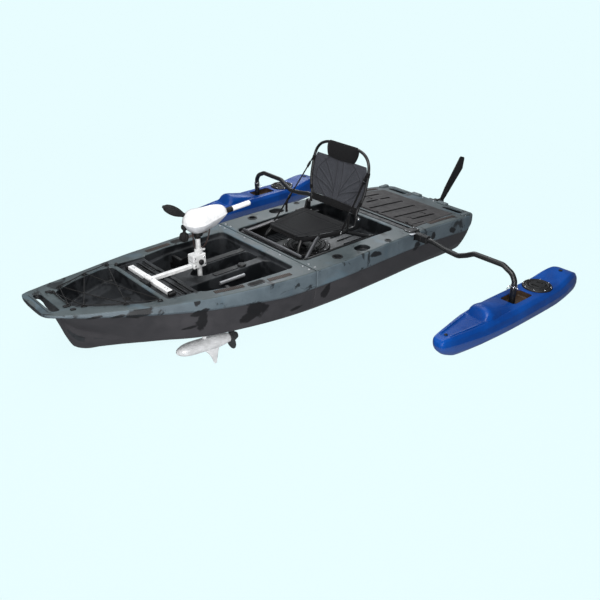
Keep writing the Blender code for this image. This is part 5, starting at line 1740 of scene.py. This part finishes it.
makeBackFabric()
makeHeadPad()
makeLowerBand()
makePan()
makeBinding()
print("seat fabric made")


# Side straps of the seat

def strapBand(name, points, width, thickness, across, finish):
    # flat webbing along points; across is the direction of its width
    rings = []
    pts = [Vector(p) for p in points]
    for i, p in enumerate(pts):
        along = (pts[min(i + 1, len(pts) - 1)] - pts[max(i - 1, 0)]).normalized()
        wide = (across - along * across.dot(along)).normalized()
        thick = along.cross(wide)
        rings.append([p + wide * (width / 2 * u) + thick * (thickness / 2 * v)
                      for u, v in ((-1, -0.6), (-0.94, -1), (0.94, -1), (1, -0.6), (1, 0.6), (0.94, 1),
                                   (-0.94, 1), (-1, 0.6))])
    return painted(loftRings(name, rings), finish)


def makeStraps(word, side, low, across, tailAt):
    top = leaned(-0.013, side * 0.25, 0.735)
    run = low - top
    bow = [top.lerp(low, k / 12) + Vector((0, 0, -0.006 * math.sin(math.pi * k / 12))) for k in range(13)]
    parts = [strapBand("strap", bow, 0.019, 0.0022, across, "webbing")]
    along = run.normalized()
    wide = (across - along * across.dot(along)).normalized()
    face = along.cross(wide)
    for at in (0.1, tailAt):
        centre = top.lerp(low, at) + Vector((0, 0, -0.006 * math.sin(math.pi * at)))
        outline = roundOutline([(-0.02, -0.0135), (0.02, -0.0135), (0.02, 0.0135), (-0.02, 0.0135)], 0.004, 4)
        parts.append(plateOf("buckle", outline,
                             lambda x, y, h: centre + along * x + wide * y + face * (h - 0.0035), 0.007,
                             0.0012, "black"))
        parts.append(tubeAlong("buckleBar",
                               [centre - wide * 0.012 + face * 0.0038,
                                centre + wide * 0.012 + face * 0.0038], 0.0016, "steel", 10, dome=0.0008))
    centre = top.lerp(low, tailAt) + Vector((0, 0, -0.006 * math.sin(math.pi * tailAt)))
    tail = [centre + along * 0.018 + Vector((0, side * 0.002, 0)),
            centre + along * 0.04 + Vector((0.004, side * 0.004, -0.014)),
            centre + along * 0.046 + Vector((0.006, side * 0.003, -0.045)),
            centre + along * 0.046 + Vector((0.006, side * 0.001, -0.07))]
    parts.append(strapBand("strapTail", smoothPath(tail, 5), 0.019, 0.002, Vector((0.9, 0, 0.4)), "webbing"))
    parts.append(tubeAlong("strapHook", [top.lerp(low, 0.955), top.lerp(low, 0.985), low], 0.0045,
                           "steel", 10))
    whole = joinPieces("backStraps_" + word, parts)
    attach(whole, "kayak")
    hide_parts("back_strap_" + word)
    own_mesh(whole)


height = seat["panTop"] - 0.0185
makeStraps("port", -1, boatPoint(1.895, -0.2332, height), Vector((0.9, 0, 0.3)), 0.62)
makeStraps("starboard", 1, boatPoint(seat["front"] + 0.035, seat["halfFront"] + 0.0245, height),
           Vector((0.55, 0, 0.85)), 0.58)
print("side straps made")


# Rear panel, crossbar and gunwale plates

panel = {
    "front": 2.412,
    "rear": 2.885,
    "halfFront": 0.3895,
    "halfRear": 0.3275,
    "thick": 0.0132,
    # long grooves: distance from the centreline, front end, rear end
    "grooves": [(-0.175, 2.45, 2.79), (-0.06, 2.45, 2.79), (0.055, 2.45, 2.79), (0.165, 2.53, 2.65),
                (0.165, 2.672, 2.77), (-0.268, 2.53, 2.76), (0.262, 2.45, 2.76)],
    "ticks": [(2.7, -0.22), (2.54, -0.245), (2.62, 0.215)],
    "latches": [(2.438, -0.03), (2.438, -0.3), (2.438, 0.24)],
}
finishes["panel"] = mouldedPlastic("brownPanel", (0.026, 0.0235, 0.024), 0.66, 700)
finishes["shadow"] = mouldedPlastic("darkGroove", (0.006, 0.006, 0.0065), 0.8)
finishes["strip"] = mouldedPlastic("brownStrip", (0.05, 0.04, 0.037), 0.62, 700)


def onDeck(lift):
    return lambda x, y, h: boatPoint(x, y, sheerAt(x) + lift + h)


def grooveCutter(x0, y0, x1, y1, lift):
    cutter = plateOf("cutter", oblong(x0, y0, x1, y1, 0.0032), onDeck(lift), 0.02, 0.0005)
    painted(cutter, "panel", "shadow")
    for face in cutter.data.polygons:
        face.material_index = 1
    return cutter


def makeRearPanel():
    outline = halfOutline([(panel["front"], panel["halfFront"]), (panel["rear"], panel["halfRear"])], 0.01)
    plate = plateOf("rearPanel", outline, onDeck(0.0015 - panel["thick"]), panel["thick"], 0.0022, "panel")
    painted(plate, "shadow")
    cutters = [grooveCutter(a, y - 0.0095, b, y + 0.0095, -0.006) for y, a, b in panel["grooves"]]
    for x, y in panel["ticks"]:
        cutters.append(grooveCutter(x, y - 0.022, x + 0.009, y + 0.022, -0.004))
        cutters.append(grooveCutter(x - 0.022, y + 0.011, x - 0.0005, y + 0.019, -0.004))
    for y in (-0.343, 0.343):
        cutters.append(grooveCutter(2.442, y - 0.004, 2.56, y + 0.004, -0.005))
    cutters.append(grooveCutter(panel["front"] + 0.007, -0.376, panel["front"] + 0.02, 0.376, -0.005))
    carve(plate, cutters)
    parts = [plate]
    for x, y in panel["latches"]:
        parts.append(turnedPiece("latch",
                                 [(0.0085, 0), (0.0135, 0, 0.001), (0.0135, 0.0035, 0.0015),
                                  (0.0095, 0.0045, 0.001), (0.0085, 0)],
                                 boatPoint(x - 0.003, y, sheerAt(x) + 0.0012), (0, 0, 1), "black",
                                 28, corner=3))
    whole = joinPieces("rearPanel", parts)
    evenNormals(whole)
    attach(whole, "kayak")
    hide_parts("rear_panel")


def boltItem():
    radius, height = 0.006, 0.0035
    profile = [(0, 0), (radius, 0), (radius, height * 0.55, height * 0.3),
               (radius * 0.62, height, height * 0.25), (radius * 0.42, height),
               (radius * 0.36, height * 0.55), (0, height * 0.55)]
    return turnedPiece("boltItem", profile, (0, 0, 0), upVector, None, 24, 3)


def setBolts(name, spots, finish, size):
    bolts = setItems(name, boltItem(), [(boatPoint(*spot), upVector, aftVector) for spot in spots], finish,
                     size)
    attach(bolts, "kayak")


def makeCrossbar():
    x, z = hull["grooveAt"], outrigger["barHeight"]
    parts = [boatBox("crossbarTube", (x - 0.021, -0.5595, z - 0.0225), (x + 0.021, 0.5595, z + 0.0222), 0.007,
                     "black", 4)]
    for side in (-1, 1):
        for near, far in ((0.5, 0.512), (0.5455, 0.559)):
            parts.append(boatBox("crossbarCollar", (x - 0.0228, side * near, z - 0.024),
                                 (x + 0.0228, side * far, z + 0.024), 0.005, "black"))
    whole = joinPieces("crossbar", parts)
    evenNormals(whole)
    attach(whole, "kayak")
    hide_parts("outrigger_crossbar")
    spots = []
    for word, side in bothSides:
        low, high = sorted((side * 0.3855, side * 0.4445))
        plate = plateOf("clampPlate_" + word, oblong(2.3125, low, 2.4075, high, 0.01), onDeck(0.0006),
                        0.0044, 0.0015, "black")
        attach(plate, "kayak")
        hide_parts("clamp_plate_" + word)
        for dx in (-0.039, 0.039):
            for y in (0.398, 0.432):
                spots.append((x + dx, side * y, sheerAt(x) + 0.0046))
        low, high = sorted((side * 0.455, side * 0.4795))
        silver = plateOf("gunwalePlate_" + word, oblong(2.288, low, 2.332, high, 0.005), onDeck(0.0004),
                         0.0028, 0.001, "steel")
        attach(silver, "kayak")
    setBolts("clampBolts", spots, "steel", 0.9)


def makeFrameBars():
    bottom, top = 0.3675, 0.3908
    for name, node, low, high in (("crossBar", "frame_cross_bar", (0.6502, -0.2128, bottom),
                                   (0.6858, 0.2128, top)),
                                  ("longBar", "frame_long_bar", (0.6865, -0.0138, bottom),
                                   (0.9375, 0.0138, top))):
        parts = [boatBox(name, low, high, 0.0045, "white", 4)]
        if name == "crossBar":
            for side in (-1, 1):
                parts.append(boatBox("barEnd", (0.65, side * 0.209, bottom - 0.0001),
                                     (0.686, side * 0.2129, top + 0.0001), 0.0015, "black"))
            parts.append(boatBox("barPlate", (0.653, -0.04, top - 0.001), (0.683, 0.04, top + 0.003), 0.0012,
                                 "white"))
        whole = joinPieces(name, parts)
        evenNormals(whole)
        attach(whole, "kayak")
        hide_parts(node)
    spots = ([(0.668, y, top) for y in (-0.185, -0.16, 0.16, 0.185)]
             + [(0.668, y, top + 0.003) for y in (-0.028, 0.028)])
    spots += [(0.705, 0, top), (0.915, 0, top)]
    setBolts("frameBolts", spots, "chrome", 0.85)


def makeBracketParts():
    places = []
    for side in (-1, 1):
        for x, z in ((0.95, 0.385), (0.95, 0.428), (1.013, 0.385), (1.013, 0.428)):
            places.append((boatPoint(x, side * 0.03, z), Vector((0, side, 0)), aftVector))
    bolts = setItems("bracketBolts", boltItem(), places, "chrome", 0.95)
    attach(bolts, "kayak")
    knob = turnedPiece("bracketKnob",
                       [(0, 0), (0.005, 0), (0.005, 0.006), (0.015, 0.008, 0.002), (0.0165, 0.018, 0.003),
                        (0.012, 0.024, 0.003), (0, 0.025)], boatPoint(0.982, -0.0302, 0.406), (0, -1, 0),
                       "black", 32, corner=4)
    seam = boatBox("bracketSeam", (0.9372, -0.0303, 0.4058), (0.968, 0.0303, 0.407), 0.0004, "shadow")
    whole = joinPieces("bracketParts", [knob, seam])
    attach(whole, "kayak")


makeRearPanel()
makeCrossbar()
makeFrameBars()
makeBracketParts()
print("panel, crossbar and motor frame made")


# Deck fittings

deck = {
    # lacing eyes of the storage well, port side first: station, distance from the centreline
    "eyes": [(0.15, -0.092), (0.15, 0.092), (0.208, -0.142), (0.208, 0.142), (0.395, -0.232), (0.395, 0.232),
             (0.56, -0.288), (0.56, 0.288)],
    "lacing": [(0, 3), (1, 2), (2, 5), (3, 4), (4, 7), (5, 6), (2, 4), (3, 5), (4, 6), (5, 7), (0, 1)],
    "cord": 0.0026,
    # ribbed strips on the gunwales: front, rear, distance inboard of the hull's edge
    "strips": [(0.85, 1.03, 0.062), (1.18, 1.335, 0.06), (2.56, 2.85, 0.062)],
    "recess": (1.05, 1.162),
}


def halfAt(x):
    return sectionAt(x)[0]


def makeLacing():
    base = [roundedBox("eyeBase", (-0.016, -0.0065, 0), (0.016, 0.0065, 0.004), 0.0018)]
    arc = [Vector((0.0105 * math.cos(a), 0, 0.003 + 0.01 * math.sin(a)))
           for a in [math.pi * k / 10 for k in range(11)]]
    base.append(tubeAlong("eyeLoop", arc, 0.0026, None, 10))
    item = joinPieces("eyeItem", base)
    places = []
    for x, y in deck["eyes"]:
        places.append((boatPoint(x, y, sheerAt(x)), upVector, Vector((1, 0.22 * (1 if y > 0 else -1), 0))))
    eyes = setItems("lacingEyes", item, places, "black")
    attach(eyes, "kayak")
    parts = []
    for a, b in deck["lacing"]:
        ends = [boatPoint(*deck["eyes"][i], sheerAt(deck["eyes"][i][0]) + 0.0075 + 0.0004 * (a + b))
                for i in (a, b)]
        middle = ends[0].lerp(ends[1], 0.5) - upVector * 0.004 * (ends[1] - ends[0]).length / 0.3
        parts.append(tubeAlong("lacing", smoothPath([ends[0], middle, ends[1]], 8), deck["cord"],
                               "rubber", 10, dome=0.002))
    parts.append(turnedPiece("lacingHook",
                             [(0, 0), (0.01, 0, 0.001), (0.012, 0.006, 0.002), (0.006, 0.016, 0.003),
                              (0, 0.018)], boatPoint(0.606, 0.262, sheerAt(0.606)), (0, 0, 1),
                             "black", 28, corner=4))
    whole = joinPieces("deckLacing", parts)
    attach(whole, "kayak")


def makeStrips():
    bases, ribs = [], []
    for front, rear, inboard in deck["strips"]:
        for side in (-1, 1):
            mid = (front + rear) / 2
            slope = (halfAt(rear) - halfAt(front)) / (rear - front)
            yMid = side * (halfAt(mid) - inboard)
            along = Vector((1, side * slope, 0)).normalized()
            across = Vector((-along.y, along.x, 0))
            length = rear - front
            outline = roundOutline([(-length / 2, -0.017), (length / 2, -0.017), (length / 2, 0.017),
                                    (-length / 2, 0.017)], 0.006, 4)

            def onStrip(a, b, h):
                p = along * a + across * b
                return boatPoint(mid + p.x, yMid + p.y, sheerAt(mid + p.x) + h - 0.0006)

            bases.append(plateOf("stripBase", dense(outline, 0.02), onStrip, 0.0026, 0.0009, "strip"))
            count = int(length / 0.0105)
            for k in range(count):
                p = along * (-length / 2 + (k + 0.5) * length / count)
                ribs.append((boatPoint(mid + p.x, yMid + p.y, sheerAt(mid + p.x) + 0.0018), upVector, along))
    item = roundedBox("ribItem", (-0.0026, -0.0135, 0), (0.0026, 0.0135, 0.0024), 0.0011)
    pieces = [setItems("stripRibs", item, ribs, "strip"), joinPieces("stripBases", bases)]
    whole = joinPieces("gripStrips", pieces)
    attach(whole, "kayak")


def ringOn(x, y, z, inner, outer, height, finish):
    profile = [(inner, 0), (outer, 0, 0.0005), (outer, height, height * 0.45),
               (inner, height, height * 0.3), (inner, 0)]
    return turnedPiece("ring", profile, boatPoint(x, y, z), (0, 0, 1), finish, 44, 3)


def drainOn(x, y, z, inner, outer, height, plug):    # black rim round a dark disc in the shadow finish, painted shade in the drain
    return [ringOn(x, y, z, inner, outer, height, "black"),
            ringOn(x, y, z, 0.0005, plug[0], plug[1], "shadow")]


def makeRims():
    parts = []
    front, rear = deck["recess"]
    at, out = hull["rodHolderAt"]
    for side in (-1, 1):
        parts.append(ringOn(at, side * out, sheerAt(at) + 0.0001, 0.0236, 0.033, 0.0032, "black"))
        y = side * (halfAt(1.106) - 0.061)
        for name, inset, half, corner, lift, thick, rim, word in (
                ("recessRim", 0, 0.024, 0.022, -0.001, 0.0034, 0.001, "black"),
                ("recessFloor", 0.008, 0.016, 0.015, -0.0008, 0.004, 0.0006, "shadow")):
            oval = oblong(front + inset, y - half, rear - inset, y + half, corner, 8, 0.02)
            parts.append(plateOf(name, oval, onDeck(lift), thick, rim, word))
        parts += drainOn(2.11, side * 0.44, sheerAt(2.11) + 0.0001, 0.0135, 0.0215, 0.003, (0.013, 0.0016))
    for x in (1.535, 2.215):
        for side in (-1, 1):
            parts += drainOn(x, side * 0.255, hull["cockpitFloor"] + 0.0001, 0.012, 0.0195, 0.0026,
                             (0.0118, 0.001))
    for x in (0.24, 0.52):
        parts += drainOn(x, 0, 0.3102, 0.012, 0.018, 0.0026, (0.0118, 0.001))
    whole = joinPieces("deckRims", parts)
    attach(whole, "kayak")


def makeFloorRibs():
    low = hull["cockpitFloor"]
    parts = []
    for y in (0.195, 0.217, 0.239, 0.261, 0.283):
        for side in (-1, 1):
            ends = (1.64, 2.19) if y < 0.28 else (1.56, 2.24)
            parts.append(boatBox("floorRib", (ends[0], side * y - 0.0045, low - 0.002),
                                 (ends[1], side * y + 0.0045, low + 0.006), 0.0022, "wellRib"))
    for k in range(5):
        y = -0.13 + 0.065 * k
        parts.append(boatBox("floorRib", (2.03, y - 0.0045, low - 0.002), (2.25, y + 0.0045, low + 0.006),
                             0.0022, "wellRib"))
    whole = joinPieces("cockpitRibs", parts)
    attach(whole, "kayak")


def makeTransomBumps():
    parts = []
    for side in (-1, 1):
        for near, far, front, rear, rise in ((0.372, 0.408, 2.905, 2.99, 0.013),
                                             (0.082, 0.168, 3.000, 3.044, 0.012)):
            base = sheerAt((front + rear) / 2)
            parts.append(boatBox("transomBump", (front, side * near, base - 0.012),
                                 (rear, side * far, base + rise), 0.009, "bump", 4))
    whole = joinPieces("transomBumps", parts)
    evenNormals(whole)
    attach(whole, "kayak")


def makeHandlePads():         # moulded grips round the carrying slots
    rests = [("bowGrip", (0.0335, -0.128, 0.0465, 0.128, 0.006), 0.0035, 0.0014, "bump")]
    for side in (-1, 1):
        near, far = sorted((side * 0.192, side * 0.333))
        rests.append(("sternGrip", (2.9905, near, 3.018, far, 0.008), 0.0035, 0.0014, "bump"))
    for x, y, long, wide in ((0.12, -0.096, 0.034, 0.024), (0.134, -0.146, 0.03, 0.02),
                             (0.12, 0.112, 0.034, 0.024)):
        rests.append(("bowFitting", (x, y - wide / 2, x + long, y + wide / 2, 0.008), 0.006, 0.0022, "black"))
    parts = [plateOf(name, oblong(*corners), onDeck(0.0002), thick, rim, word)
             for name, corners, thick, rim, word in rests]
    whole = joinPieces("handlePads", parts)
    evenNormals(whole)
    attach(whole, "kayak")


def makeDeckBolts():
    spots = []
    for side in (-1, 1):
        for x, y in ((1.452, 0.175), (1.452, 0.385), (1.452, 0.44), (1.498, 0.385), (1.498, 0.44),
                     (2.93, 0.405), (2.405, 0.425), (3.012, 0.05)):
            spots.append((x, side * y, sheerAt(x)))
    setBolts("deckBolts", spots, "steel", 1.15)


def makeFootDeck():           # ribs on the footwell floors and a pad beside the motor slot
    parts = []
    for side in (-1, 1):
        for k in range(6):
            y = side * (0.15 + 0.032 * k)
            parts.append(boatBox("footRib", (1.06 if k > 3 else 0.93, y - 0.0045, hull["footFloor"] - 0.002),
                                 (1.34, y + 0.0045, hull["footFloor"] + 0.006), 0.0022, "wellRib"))
        low, high = sorted((side * 0.068, side * 0.108))
        parts.append(plateOf("slotPad", oblong(1.03, low, 1.38 if side > 0 else 1.195, high, 0.01),
                             lambda x, y, h: boatPoint(x, y, hull["footDeck"] + h), 0.004, 0.0016, "black"))
    whole = joinPieces("footDeckParts", parts)
    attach(whole, "kayak")


def makeRidgeBlock():
    top = hull["ridgeTop"]
    parts = [boatBox("ridgeBlock", (0.6065, -0.062, top + 0.0002), (0.64, 0.01, top + 0.03), 0.005, "black")]
    for side in (-1, 1):
        parts.append(boatBox("ridgePad", (0.645, side * 0.225 - 0.01, top + 0.0002),
                             (0.69, side * 0.225 + 0.01, top + 0.02), 0.004, "black"))
        for k in range(5):
            x = 0.706 + 0.017 * k
            parts.append(boatBox("ridgeRib", (x, side * 0.105, top - 0.001),
                                 (x + 0.006, side * 0.245, top + 0.003), 0.0014, "black"))
    whole = joinPieces("ridgeParts", parts)
    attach(whole, "kayak")


# painted shade: the moulded ribs in the wells are coloured as dark as the shaded well floors
finishes["wellRib"] = mouldedPlastic("darkRib", (0.02, 0.023, 0.027), 0.5)
finishes["bump"] = mouldedPlastic("greyBump", camoAndPaintedLight["deckGrey"], 0.5, 420)
makeLacing()
makeStrips()
makeRims()
makeFloorRibs()
makeTransomBumps()
makeHandlePads()
makeDeckBolts()
makeFootDeck()
makeRidgeBlock()
print("deck fittings made")


# Rudder

rudder = {
    "pivot": (3.16, 0.24),
    "rise": 54,
    "thick": 0.0088,
    # blade's outline along and across its own length
    "outline": [(-0.0158, -0.0158), (0.05, -0.03), (0.3, -0.06), (0.375, -0.02), (0.36, 0.03), (0.1, 0.03),
                (-0.0158, 0.0158)],
}


def bladePoint(along, across, y):
    a = math.radians(rudder["rise"])
    px, pz = rudder["pivot"]
    return boatPoint(px + along * math.cos(a) - across * math.sin(a), y,
                     pz + along * math.sin(a) + across * math.cos(a))


def makeRudder():
    half = rudder["thick"] / 2
    outline = dense(roundOutline(rudder["outline"], 0.014, 6), 0.02)
    blade = plateOf("rudderBladePlate", outline, lambda u, v, h: bladePoint(u, v, h - half),
                    rudder["thick"], 0.0034, "black")
    bore = turnedPiece("cutter", [(0, 0), (0.0044, 0), (0.0044, 0.06), (0, 0.06)],
                       boatPoint(rudder["pivot"][0], -0.03, rudder["pivot"][1]), (0, 1, 0), steps=24)
    carve(blade, [bore])
    parts = [blade]
    for v in (-0.026, -0.006, 0.014):
        for side in (-1, 1):
            low = side * half
            rib = plateOf("bladeRib", oblong(0.085, v - 0.0022, 0.315, v + 0.0022, 0.002),
                          lambda u, w, h, s=side, b=low: bladePoint(u, w, b + s * (h - 0.0006)), 0.0016,
                          0.0005, "black")
            parts.append(rib)
    whole = joinPieces("rudderBlade", parts)
    evenNormals(whole)
    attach(whole, "rudder_blade")
    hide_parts("rudder_blade")
    places = [(boatPoint(rudder["pivot"][0], side * 0.0161, rudder["pivot"][1]), Vector((0, side, 0)),
               aftVector) for side in (-1, 1)]
    pins = setItems("rudderPins", boltItem(), places, "steel", 1.0)
    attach(pins, "rudder_head")
    bolts = [(boatPoint(3.0705, y, z), aftVector, upVector) for y in (-0.021, 0.021) for z in (0.262, 0.272)]
    fixed = setItems("bracketScrews", boltItem(), bolts, "steel", 0.7)
    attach(fixed, "kayak")


makeRudder()
print("rudder made")


# Float fittings

def makeFloatParts(word, side):
    middle = side * outerFloat["middle"]
    parts = []
    for x, radius in ((2.862, 0.0125), (1.76, 0.0105)):
        top = tableAt(outerFloat["rings"], x)[2]
        lift = 0.001 if x > 2 else -0.0028
        profile = [(0, -0.004), (radius, -0.004), (radius, 0.0028, 0.0012), (radius * 0.6, 0.0034, 0.0008),
                   (radius * 0.5, 0.0016), (0, 0.0016)]
        parts.append(turnedPiece("floatPlug", profile, boatPoint(x, middle, top + lift), (0, 0, 1),
                                 "black", 32, 3))
    for edge in (-1, 1):
        ends = ((1.76, 0.03), (2.005, 0.0675))
        points = [boatPoint(x, middle + edge * y, tableAt(outerFloat["rings"], x)[2] - 0.0005)
                  for x, y in ends]
        parts.append(tubeAlong("foredeckRidge", [points[0].lerp(points[1], k / 6) for k in range(7)], 0.004,
                               "float", 12, dome=0.003))
    whole = joinPieces("floatParts_" + word, parts)
    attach(whole, "outrigger_" + word)


for word, side in bothSides:
    makeFloatParts(word, side)
print("float fittings made")


# Remaining CAD nodes get their finishes

nodeFinishes = {
    "black": ("rudder_bracket", "rudder_head", "round_cap", "foot_brace_port", "foot_brace_starboard",
              "seat_rail_port", "seat_rail_starboard"),
    "paleTube": ("storage_tube",),
    "white": ("shaft_bracket", "steer_collar", "motor_shaft"),
}
for word, names in nodeFinishes.items():
    for name in names:
        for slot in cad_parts[name].material_slots:
            slot.material = finishes[word]
